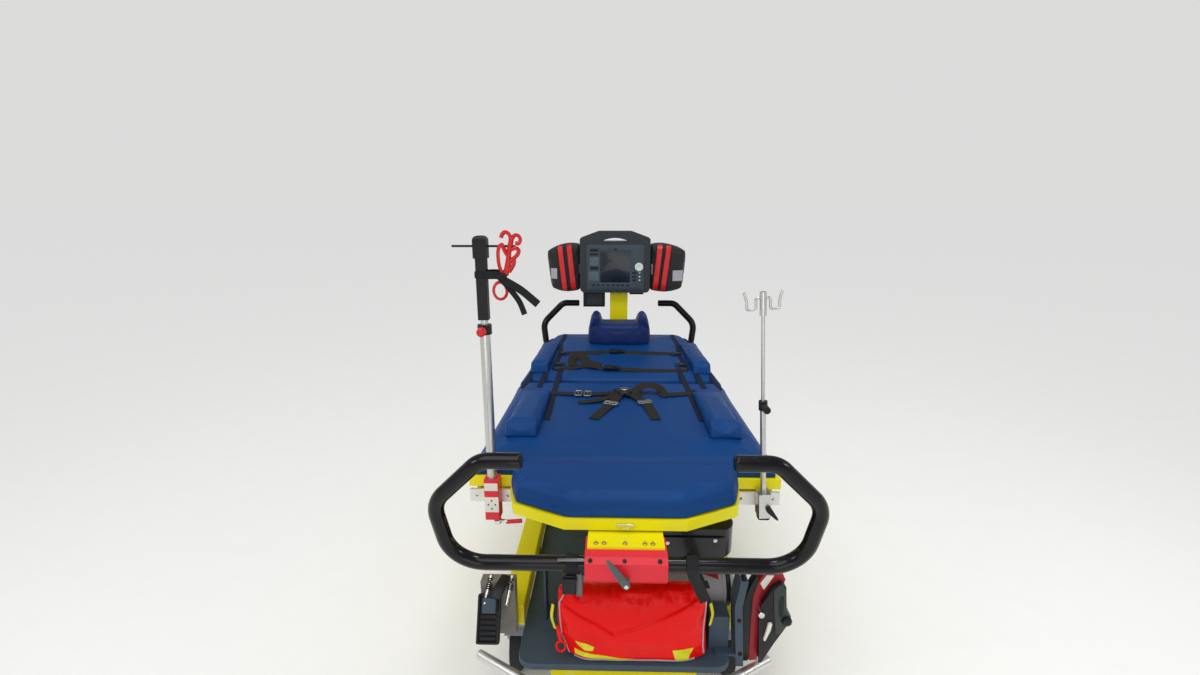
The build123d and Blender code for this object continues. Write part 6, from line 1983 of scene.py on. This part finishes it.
@dataclass
class Undercarriage:
    """The casters' tyres, and the fittings of the foot pedals."""

    rubber: Finish
    steel: Finish
    dark: Finish
    hub: Finish
    radius: float = 0.1
    swivel: Point = (0.34, 0.7)
    trail: float = 0.038

    def tyres(self, treads: Treads) -> list[Piece]:
        """A grooved tyre on each wheel.

        Args:
            treads: The tree that sweeps tyres.

        Returns:
            The tyres, in the order of the corners.
        """
        made = []
        for corner in CORNERS:
            side = 1 if corner.endswith("right") else -1
            end = 1 if corner.startswith("head") else -1
            hub = (side * self.swivel[0], end * self.swivel[1] + self.trail, self.radius)
            grooves = {"Groove depth": 0.0009}
            tyre = treads.grow(
                f"tread_{corner}", spots([(hub, (1, 0, 0))]), self.rubber, Radius=self.radius, Width=0.036, **grooves,
            )
            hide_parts(f"tyre_{corner}")
            made += fasten([tyre], f"wheel_{corner}", ["tyre_rubber"])
        return made

    def pedals(self) -> list[Piece]:
        """The ribbed foot pedals at opposite corners, with their hubs, arms and sprung rods.

        Returns:
            The pads with their arms, the hubs, the rods and the springs.
        """
        pads, hubs, rods, springs = Form(), Form(), Form(), Form()
        slope = radians(65)
        for end in (-1, 1):
            face = axes((end * 0.393, end * 0.845, 0.32), (-end, 0, 0), (0, end * sin(slope), cos(slope)))
            pads.prism(rectangle(0.068, 0.136, 0.006), face @ level(0, 0.004, -0.01), 0.01)
            for side in (-1, 1):
                pads.prism(rectangle(0.006, 0.132, 0.002), face @ level(side * 0.03, 0.004, 0), 0.005)
            pads.prism(rectangle(0.056, 0.006, 0.002), face @ level(0, -0.06, 0), 0.005)
            for rib in range(5):
                pads.prism(rectangle(0.046, 0.0085, 0.003), face @ level(0, -0.047 + 0.0148 * rib, 0), 0.0042)
            hubs.dome(rectangle(0.04, 0.042, 0.005), face @ level(0.004, 0.045, 0.0), 0.022, 0.004)
            pads.lathe(mm((6, 0), (12.5, 0), (13.5, 3), (12.5, 8), (6, 8)), face @ level(0.006, 0.066, 0.01), 24)
            arm = [(end * x, end * y, z) for x, y, z in mm((372, 838, 390), (362, 812, 406), (350, 770, 413.5))]
            pads.strap(curve_through(arm), 0.034, 0.007, (0.0, end * 0.3, 1.0))
            for low, high in ((0.402, 0.396), (0.338, 0.332)):
                first, last = Vector((end * low, end * 0.842, 0.372)), Vector((end * high, end * 0.774, 0.4165))
                rods.tube([first, last], 0.006, 16)
                for turn in range(6):
                    spot = first.lerp(last, 0.52 + 0.07 * turn)
                    coil = axes(tuple(spot), (1, 0, 0), tuple(last - first))
                    springs.lathe(mm((5.8, -2), (8.2, -1.4), (8.7, 0), (8.2, 1.4), (5.8, 2)), coil, 16)
        return [
            pads.make("pedal_pads", self.dark, bevel=0.0007), hubs.make("pedal_hubs", self.hub, bevel=0.0006),
            rods.make("pedal_rods", self.steel), springs.make("pedal_springs", self.dark),
        ]

    def build(self, treads: Treads) -> list[Piece]:
        """Builds the tyres and the pedals.

        Args:
            treads: The tree that sweeps tyres.

        Returns:
            The pieces.
        """
        pedals = self.pedals()
        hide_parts("foot_pedals")
        fasten(pedals, "base", ["black_plastic", "slate_paint", "stainless_steel", "black_plastic"])
        return [*self.tyres(treads), *pedals]


@dataclass
class PlatformKit:
    """What shows of the suction unit and the gas cylinder on the platform."""

    panel: Finish
    rubber: Finish
    silver: Finish
    pale: Finish
    red: Finish
    front: float = -0.886
    frame_front: float = -0.866
    axis: Point = (-0.735, 0.372)
    cylinder_radius: float = 0.058

    def front_view(
        self, outline: Sequence[tuple[float, float]], y: float, depth: float, radius: float = 0.003,
    ) -> Form:
        """A flat piece seen from the foot end.

        Args:
            outline: Its corners as x and z.
            y: Where its back lies.
            depth: Its thickness, towards the viewer.
            radius: Radius of its corners.

        Returns:
            The form.
        """
        form = Form()
        form.prism(rounded(outline, radius, 4), upright(0.0, y, 0.0), depth)
        return form

    def case(self) -> list[Piece]:
        """The suction unit's red arched frame, and its black case with the lower corner cut off.

        Returns:
            The frame and the case.
        """
        arch = mm(
            (362, 218), (360, 365), (361.5, 434), (373, 480), (388, 506), (406, 511), (439, 507), (447, 490),
            (440, 462), (414, 466), (393, 440), (384.5, 400), (383.5, 300), (387, 222),
        )
        frame_form = self.front_view(arch, self.frame_front + 0.04, 0.04, 0.004)
        shell = Form()
        outline = mm(
            (386, 272), (379, 374), (382, 423), (408, 472), (431, 490), (445, 478), (452, 402), (465, 386),
            (459, 361), (424, 296), (396, 236), (386, 232),
        )
        shell.dome(rounded(outline, 0.005, 4), upright(0.0, self.frame_front + 0.012, 0.0), 0.032, 0.004)
        pump = mm((384, 240), (394, 240), (441, 330), (441, 418), (384, 418))
        shell.prism(rounded(pump, 0.003, 3), upright(0.0, self.frame_front + 0.034, 0.0), 0.03)
        return [
            frame_form.make("suction_frame", self.red, bevel=0.0012),
            shell.make("suction_case", self.rubber, bevel=0.0006),
        ]

    def suction(self) -> list[Piece]:
        """The suction unit's panel, dial, knob, lever, seal and window."""
        panel = self.front_view(
            mm(
                (410, 471), (422, 486), (431, 489.5), (443, 471), (449, 402), (462, 389), (457, 365), (438, 335),
                (424, 330), (414, 418),
            ),
            self.front + 0.001, 0.0045,
        ).make("suction_panel", self.panel, bevel=0.0012)
        pocket = self.front_view(
            mm((425, 434), (431, 459), (438, 451), (441, 414), (437, 393), (428, 389)), self.front - 0.0032, 0.0008,
        )
        seal = mm((336.5, 219), (360, 219), (359.5, 425), (374, 492), (368, 502), (350, 462), (334.5, 405))
        pocket.prism(rounded(seal, 0.003, 4), upright(0.0, -0.838, 0.0), 0.029)
        dial = upright(0.451, self.front, 0.377)
        pocket.lathe(mm((0, 0), (12.5, 0), (13, 3), (12, 11), (9, 13.5), (0, 14)), dial, 28)
        grips = [
            upright(0.451 + 0.0125 * cos(a), self.front, 0.377 + 0.0125 * sin(a))
            for a in (pi * step / 6 for step in range(12))
        ]
        for grip in grips:
            pocket.lathe(mm((0, 0), (1.6, 0), (1.6, 10.5), (0, 11.5)), grip, 8)
        knob = Form()
        knob.lathe(
            mm((0, 0), (8.8, 0), (9.2, 2), (9.2, 27.5), (7.8, 29), (5.5, 29.2), (5, 27.8), (0, 27.8)),
            upright(0.38, self.frame_front - 0.0005, 0.396), 28,
        )
        lever = self.front_view(
            mm((401, 368), (412, 369), (408, 345), (396, 311), (391, 314), (397, 342)), self.front, 0.008, 0.002,
        )
        return [
            panel, pocket.make("suction_seal_and_dial", self.rubber, bevel=0.0006),
            knob.make("suction_knob", self.silver), lever.make("suction_lever", self.pale, bevel=0.001),
            self.front_view(
                mm((394.5, 503), (415, 503), (389, 456), (378, 477)), self.frame_front, 0.0009, 0.002,
            ).make("suction_window", self.pale),
        ]

    def label(self) -> list[Piece]:
        """The red blank label round the cylinder's front, and the band of its shoulder."""
        label, band = Form(), Form()
        axis_y, axis_z = self.axis
        columns = []
        for step in range(15):
            x = 0.2 + 0.084 * step / 14
            low = 48.0 + (0.284 - x) * 355.0
            angles = [radians(low + (100.0 - low) * row / 8) for row in range(9)]
            way = [Vector((0.0, -cos(angle), sin(angle))) for angle in angles]
            middle = Vector((x, axis_y, axis_z))
            outer = [middle + turn * (self.cylinder_radius + 0.0008) for turn in way]
            inner = [middle + turn * (self.cylinder_radius - 0.0005) for turn in reversed(way)]
            columns.append(outer + inner)
        label.skin(columns)
        around = axes((0.0, axis_y, axis_z), (0, 1, 0), (1, 0, 0))
        band.lathe(mm((58.5, 304), (61.2, 304.5), (61.2, 318.5), (58.5, 319)), around, 64)
        return [label.make("cylinder_label", self.red), band.make("cylinder_band", self.rubber)]

    def build(self, screws: Screws) -> list[Piece]:
        """Builds the fittings of the platform's equipment.

        Args:
            screws: The tree that makes screw heads.

        Returns:
            The pieces.
        """
        case = self.case()
        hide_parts("unit_frame")
        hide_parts("unit_body")
        made = [*case, *self.suction(), *self.label()]
        places = [(0.3225, 0.369), (0.3315, 0.258)]
        heads = spots([((x, -0.8843, z), (0, -1, 0)) for x, z in places])
        made.append(screws.grow("channel_screws", heads, self.rubber, Radius=0.0042, Height=0.003, Recess=0.0012))
        slots = ["red_paint", "black_plastic", "lever_grey", "black_plastic", "stainless_steel"]
        slots += ["anodised_aluminium", "rail_aluminium", "red_paint", "black_plastic", "black_plastic"]
        return fasten(made, "base", slots)


@dataclass
class DeckFittings:
    """The small fittings of the clamp blocks and levers, the drive housing, the right clamp and the foot panel."""

    dark: Finish
    steel: Finish
    brass: Finish
    grey: Finish
    plate_top: float = 0.685

    def heads(self, screws: Screws) -> list[Piece]:
        """The screws of the clamp blocks and the housing, and the nuts on the plates.

        Args:
            screws: The tree that makes screw heads.

        Returns:
            The dark screws, the brass nuts and the bright screws.
        """
        slope = (0.0, 0.7071, 0.7071)
        bevels, plates = [], []
        for end in (-1, 1):
            way = (0.0, end * slope[1], slope[2])
            for x in (-0.0865, 0.081):
                bevels.append(((-end * x, end * 1.0402, 0.6682), way))
            for x in (-0.074, -0.054, -0.002, 0.047, 0.066):
                plates.append(((-end * x, end * 0.998, self.plate_top), (0, 0, 1)))
        dark = screws.grow("clamp_screws", spots(bevels), self.dark, Radius=0.0038, Height=0.003, Recess=0.0014)
        nuts = Form()
        for place, _ in plates:
            nuts.lathe(mm((0, 0), (6.2, 0), (6.2, 3), (5, 4.2), (0, 4.2)), level(*place), 6)
            nuts.lathe(mm((0, 0), (3, 0), (3, 6.6), (2.4, 7.2), (0, 7.2)), level(*place), 12)
        brass = nuts.make("plate_nuts", self.brass, bevel=0.0003)
        housing = [((x, -0.8625, z), (0, -1, 0)) for x, z in ((0.118, 0.597), (0.248, 0.606))]
        bright = screws.grow("housing_screws", spots(housing), self.steel, Radius=0.0036, Height=0.002, Recess=0.001)
        return [dark, brass, bright]

    def holes(self) -> Piece:
        """The dark hole in each clamp block's upper bevel, and the caps of the right pole's clamp."""
        form = Form()
        for end in (-1, 1):
            where = axes((end * 0.004, end * 1.0402, 0.668), (1, 0, 0), (0, end, 1))
            form.lathe(mm((0, 0.4), (4.8, 0.4), (5.4, 0.2), (5.4, -1), (0, -1)), where, 24)
        tip = mm((402, 655), (408, 668), (416, 664), (436, 634), (437, 627), (428, 632))
        form.prism(rounded(tip, 0.003, 4), upright(0.0, -0.787, 0.0), 0.01)
        form.dome(rectangle(0.034, 0.026, 0.006), axes((0.403, -0.764, 0.6285), (1, 0, 0), (0, 0, -1)), 0.013, 0.004)
        return form.make("clamp_holes_and_caps", self.dark, bevel=0.0004)

    def latch(self) -> Piece:
        """The chrome latch below the foot panel's lip, and the bright hub caps of the levers."""
        form = Form()
        form.dome(rectangle(0.046, 0.01, 0.003), upright(0.0, -0.9485, 0.7045), 0.0035, 0.0015)
        form.prism(
            rounded(mm((-10, 699), (10, 699), (7, 692.5), (-7, 692.5)), 0.002, 3), upright(0.0, -0.9485, 0.0), 0.0026,
        )
        for end in (-1, 1):
            where = axes((0.0, end * 1.0689, 0.619), (1, 0, 0), (0, end, 0))
            form.lathe(mm((0, 0), (5.2, 0), (5.2, 1.4), (4, 2.4), (0, 2.6)), where, 24)
        return form.make("deck_latch", self.steel, bevel=0.0003)

    def grips(self) -> Piece:
        """The grooved strip along each release lever."""
        form = Form()
        for end in (-1, 1):
            for step in range(6):
                along = 0.022 + 0.0075 * step
                turn = radians(55)
                centre = (end * along * cos(turn), end * 1.069, 0.619 + along * sin(turn))
                way = (end * -sin(turn), 0.0, cos(turn))
                form.prism(rectangle(0.01 - 0.0007 * step, 0.0022, 0.0008), axes(centre, way, (0, end, 0)), 0.0009)
        return form.make("lever_grips", self.grey)

    def build(self, screws: Screws) -> list[Piece]:
        """Builds the fittings, all on the deck.

        Args:
            screws: The tree that makes screw heads.

        Returns:
            The pieces.
        """
        made = [*self.heads(screws), self.holes(), self.latch(), self.grips()]
        slots = [
            "black_plastic", "stainless_steel", "stainless_steel", "black_plastic", "stainless_steel", "lever_grey",
        ]
        return fasten(made, "deck", slots)


@dataclass
class Studio:
    """The camera, the lamps and the pale floor round the trolley."""

    eye: Point = (-0.036, -2.157, 1.485)
    pitch: float = 76.55
    yaw: float = 1.38
    lens: float = 15.99
    sky_strength: float = 1.12
    floor_colour: Colour = (0.92, 0.92, 0.91)
    air_colour: Colour = (0.715, 0.715, 0.71)
    mirror_colour: Colour = (0.4, 0.41, 0.43)
    ambient: float = 0.52

    def camera(self) -> None:
        """Stands the camera at the foot end, a little left of the middle."""
        data = bpy.data.cameras.new("camera")
        data.sensor_width = 36.0
        data.lens = self.lens
        data.clip_start = 0.02
        camera = show(bpy.data.objects.new("camera", data))
        camera.location = self.eye
        camera.rotation_euler = (radians(self.pitch), 0.0, radians(self.yaw))
        bpy.context.scene.camera = camera

    def lamp(self, name: str, place: Point, aim: Point, size: float, power: float) -> None:
        """Hangs one soft square lamp.

        Args:
            name: The lamp's name.
            place: Where it hangs.
            aim: Where it points.
            size: Its side.
            power: Its power in watts.
        """
        data = bpy.data.lights.new(name, "AREA")
        data.size = size
        data.energy = power
        lamp = show(bpy.data.objects.new(name, data))
        lamp.location = place
        way = Vector(aim) - Vector(place)
        lamp.rotation_euler = way.to_track_quat("-Z", "Y").to_euler()

    def sky_lamp(self) -> None:
        """Adds the wide soft light that falls evenly on the whole floor."""
        data = bpy.data.lights.new("sky", "SUN")
        data.energy = self.sky_strength
        data.angle = radians(50)
        sky = show(bpy.data.objects.new("sky", data))
        sky.rotation_euler = (radians(24), radians(-14), 0.0)

    def floor(self) -> None:
        """Lays the pale floor."""
        form = Form()
        form.prism(rectangle(600.0, 600.0), level(0.0, 0.0, -0.02), 0.02)
        floor = form.make("floor", Paint("floor", self.floor_colour, roughness=0.6, worn=0.05))

    def air(self) -> None:
        """Fills the world with soft light, and shows the camera a plain pale backdrop."""
        world = bpy.data.worlds.new("air")
        world.use_nodes = True
        tree = world.node_tree
        tree.nodes.clear()
        rays = tree.nodes.new("ShaderNodeLightPath")
        skies = []
        for colour in ((self.ambient,) * 3, self.mirror_colour, self.air_colour):
            sky = tree.nodes.new("ShaderNodeBackground")
            sky.inputs["Color"].default_value = (*colour, 1.0)
            skies.append(sky.outputs[0])
        shown = skies[0]
        for kind, sky in (
            ("Is Glossy Ray", skies[1]), ("Is Transmission Ray", skies[2]), ("Is Camera Ray", skies[2]),
        ):
            mix = tree.nodes.new("ShaderNodeMixShader")
            tree.links.new(rays.outputs[kind], mix.inputs[0])
            tree.links.new(shown, mix.inputs[1])
            tree.links.new(sky, mix.inputs[2])
            shown = mix.outputs[0]
        output = tree.nodes.new("ShaderNodeOutputWorld")
        tree.links.new(shown, output.inputs["Surface"])
        bpy.context.scene.world = world

    def build(self) -> None:
        """Sets up the whole studio."""
        self.camera()
        self.floor()
        self.air()
        self.sky_lamp()
        self.lamp("above", (0.3, -0.6, 3.4), (0.0, 0.0, 0.7), 0.7, 15.0)
        self.lamp("left", (-2.6, -2.2, 2.2), (0.0, -0.4, 0.6), 0.6, 11.0)
        self.lamp("right", (2.6, -1.4, 2.0), (0.0, 0.0, 0.7), 0.6, 9.0)
        self.lamp("low", (0.0, -3.4, 0.9), (0.0, -0.8, 0.4), 1.4, 8.0)
        bpy.context.scene.view_settings.view_transform = "Standard"


def srgb(red: int, green: int, blue: int) -> Colour:
    """A linear colour from the numbers of a colour picker."""
    parts = (red / 255, green / 255, blue / 255)
    return tuple(((part + 0.055) / 1.055) ** 2.4 if part > 0.04045 else part / 12.92 for part in parts)


YELLOW = Paint("yellow_paint", srgb(232, 220, 10), roughness=0.34, coat=0.1, specular=0.25)
SLATE = Paint("slate_paint", srgb(58, 74, 88), roughness=0.5, peel=700.0, peel_depth=0.0001)
GLOSS_BLACK = Paint("gloss_black", srgb(10, 10, 13), roughness=0.13, coat=0.12, worn=0.02, specular=0.24)
CLAMP_RED = Paint("clamp_red", srgb(214, 30, 46), roughness=0.34, coat=0.1)
UNIT_RED = Paint("unit_red", srgb(150, 22, 34), roughness=0.4)
CASTER_GREY = Moulding("caster_grey", srgb(150, 152, 168), roughness=0.45)
WHEEL_GREY = Moulding("wheel_grey", srgb(88, 90, 98), roughness=0.5)
HOUSING_GREY = Moulding("housing_grey", srgb(116, 112, 106), roughness=0.34, coat=0.15)
LEVER_GREY = Moulding("lever_grey", srgb(78, 92, 90), roughness=0.42, grain=1400.0)
CYLINDER_GREY = Paint("cylinder_grey", srgb(150, 152, 154), roughness=0.42)
STEEL = Metal("stainless_steel", (0.62, 0.62, 0.6), roughness=0.22, grain=Axis.Z)
BRIGHT_STEEL = Metal("bright_steel", (0.72, 0.72, 0.7), roughness=0.2)
DARK_STEEL = Metal("dark_steel", (0.12, 0.12, 0.12), roughness=0.3)
WORN_STEEL = Metal("worn_steel", (0.36, 0.35, 0.32), roughness=0.34)
PALE_STEEL = Metal("pale_steel", (0.78, 0.77, 0.73), roughness=0.3)
ALUMINIUM = Blasted("anodised_aluminium", (0.52, 0.53, 0.54))
RAIL_ALUMINIUM = Blasted("rail_aluminium", (0.74, 0.73, 0.68), roughness=0.36)
TYRE = Moulding("tyre_rubber", srgb(34, 35, 38), roughness=0.66, grain=1100.0)
PLASTIC = Moulding("black_plastic", srgb(22, 23, 25), roughness=0.42)
HOUSING = Moulding("housing_black", srgb(26, 28, 27), roughness=0.3, grain=1500.0, coat=0.2)
MONITOR_SHELL = Moulding("monitor_plastic", srgb(44, 48, 52), roughness=0.46)
MONITOR_FACE = Moulding("monitor_face", srgb(58, 70, 78), roughness=0.44)
SUCTION_PANEL = Moulding("suction_panel", srgb(52, 60, 58), roughness=0.4)
BRASS = Metal("brass", (0.62, 0.46, 0.2), roughness=0.3, grain=Axis.Z)
HEAD_VINYL = Vinyl("violet_vinyl", srgb(24, 42, 92))
BLUE_VINYL = Vinyl("blue_vinyl", srgb(4, 57, 114))
NAVY_BAND = Webbing("navy_band", srgb(6, 16, 44))
BLACK_WEBBING = Webbing("black_webbing", srgb(30, 28, 24))
TARPAULIN = Tarpaulin("red_tarpaulin", srgb(226, 10, 6))
TAB_YELLOW = Reflector("yellow_tape", srgb(226, 220, 20))
SILVER_TAPE = Reflector("silver_tape", srgb(176, 172, 180))
RED_TAPE = Reflector("red_tape", srgb(214, 26, 24))
POUCH_NYLON = Cloth("pouch_fabric", srgb(30, 27, 30))
# Pale lilac grey of the pouch's piping: painted highlight along its edges.
PIPING_PAINTED_HIGHLIGHT = Moulding("piping_painted_highlight", srgb(172, 160, 166), roughness=0.5)
# The screen's finish paints a reflection on it in soft lighter patches.
SCREEN = Glass("dark_screen", srgb(12, 22, 34))
KEY_GREY = Moulding("key_grey", srgb(82, 96, 104), roughness=0.5)
KNOB_WHITE = Moulding("knob_white", srgb(206, 214, 210), roughness=0.5)
HANGER_RED = Moulding("hanger_red", srgb(198, 20, 22), roughness=0.35, coat=0.3)
PLATE_WHITE = Paint("plate_white", srgb(222, 220, 208), roughness=0.4)
STRAP_BLACK = Webbing("strap_black", srgb(22, 24, 28), ribs=640.0)
THREAD = Moulding("navy_thread", srgb(14, 34, 84), roughness=0.7)
DARK_THREAD = Moulding("dark_thread", srgb(70, 66, 56), roughness=0.7)

CORNERS = ("foot_left", "foot_right", "head_left", "head_right")
FINISHED_NODES: tuple[tuple[Finish, tuple[str, ...]], ...] = (
    (YELLOW, ("base_frame", "deck_beams", "deck_arms", "foot_panel", "seat_panel", "back_panel", "bar_plates")),
    (YELLOW, ("monitor_column",)), (SLATE, ("platform", "platform_brackets")), (PALE_STEEL, ("bumpers",)),
    (ALUMINIUM, ("column_outer", "column_middle", "column_inner")), (RAIL_ALUMINIUM, ("equipment_rails",)),
    (STEEL, ("back_hinge", "pole_clamp_right", "pole_tubes", "pole_rod_left", "pole_rod_right", "pole_head_right")),
    (GLOSS_BLACK, ("push_handle_foot", "push_handle_head")),
    (CLAMP_RED, ("clamp_blocks", "pole_clamp_left", "equipment_bag")), (LEVER_GREY, ("clamp_levers",)),
    (HOUSING, ("drive_housing",)), (HOUSING_GREY, ("pedal_housings",)),
    (PLASTIC, ("pole_collars", "pole_head_left", "unit_body", "foot_pedals")),
    (MONITOR_SHELL, ("monitor", "monitor_pouches")), (STRAP_BLACK, ("bag_straps",)),
    (CYLINDER_GREY, ("gas_cylinder",)), (UNIT_RED, ("unit_frame",)),
    (CASTER_GREY, tuple(f"fork_{corner}" for corner in CORNERS)),
    (WHEEL_GREY, tuple(f"rim_{corner}" for corner in CORNERS)), (TYRE, tuple(f"tyre_{corner}" for corner in CORNERS)),
)


def dress_nodes() -> None:
    """Gives every CAD node its finish."""
    finishes = {node: finish for finish, nodes in FINISHED_NODES for node in nodes}
    for name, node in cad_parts.items():
        finish = finishes.get(name, BLUE_VINYL)
        node.data.materials.clear()
        node.data.materials.append(finish.material())
    LOG.info("dressed %d nodes", len(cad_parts))


def main() -> None:
    """Builds every sub-assembly in order."""
    logging.basicConfig(level=logging.INFO, format="%(name)s: %(message)s")
    Studio().build()
    dress_nodes()
    stitches = Stitches()
    mattress = Mattress(BLUE_VINYL, HEAD_VINYL, NAVY_BAND, THREAD)
    pieces = mattress.build(stitches)
    pieces += Restraints(BLACK_WEBBING, PLASTIC, WORN_STEEL, DARK_THREAD, mattress).build(stitches)
    screws = Screws()
    pouch = EquipmentPouch(TARPAULIN, TAB_YELLOW, PIPING_PAINTED_HIGHLIGHT, STRAP_BLACK, PLASTIC, DARK_STEEL)
    pieces += pouch.build()
    monitor = PatientMonitor(MONITOR_FACE, KEY_GREY, SCREEN, PLASTIC, POUCH_NYLON, RED_TAPE, SILVER_TAPE, KNOB_WHITE)
    pieces += monitor.build()
    poles = InfusionPoles(PLASTIC, HANGER_RED, BRIGHT_STEEL, STRAP_BLACK, PLATE_WHITE)
    pieces += poles.build(screws)
    pieces += Undercarriage(TYRE, BRIGHT_STEEL, PLASTIC, SLATE).build(Treads())
    pieces += PlatformKit(SUCTION_PANEL, PLASTIC, BRIGHT_STEEL, PLATE_WHITE, UNIT_RED).build(screws)
    pieces += DeckFittings(PLASTIC, BRIGHT_STEEL, BRASS, KEY_GREY).build(screws)
    for piece in pieces:
        LOG.info("%s: %d faces", piece.name, len(piece.data.polygons))


if __name__ == "__main__":
    main()
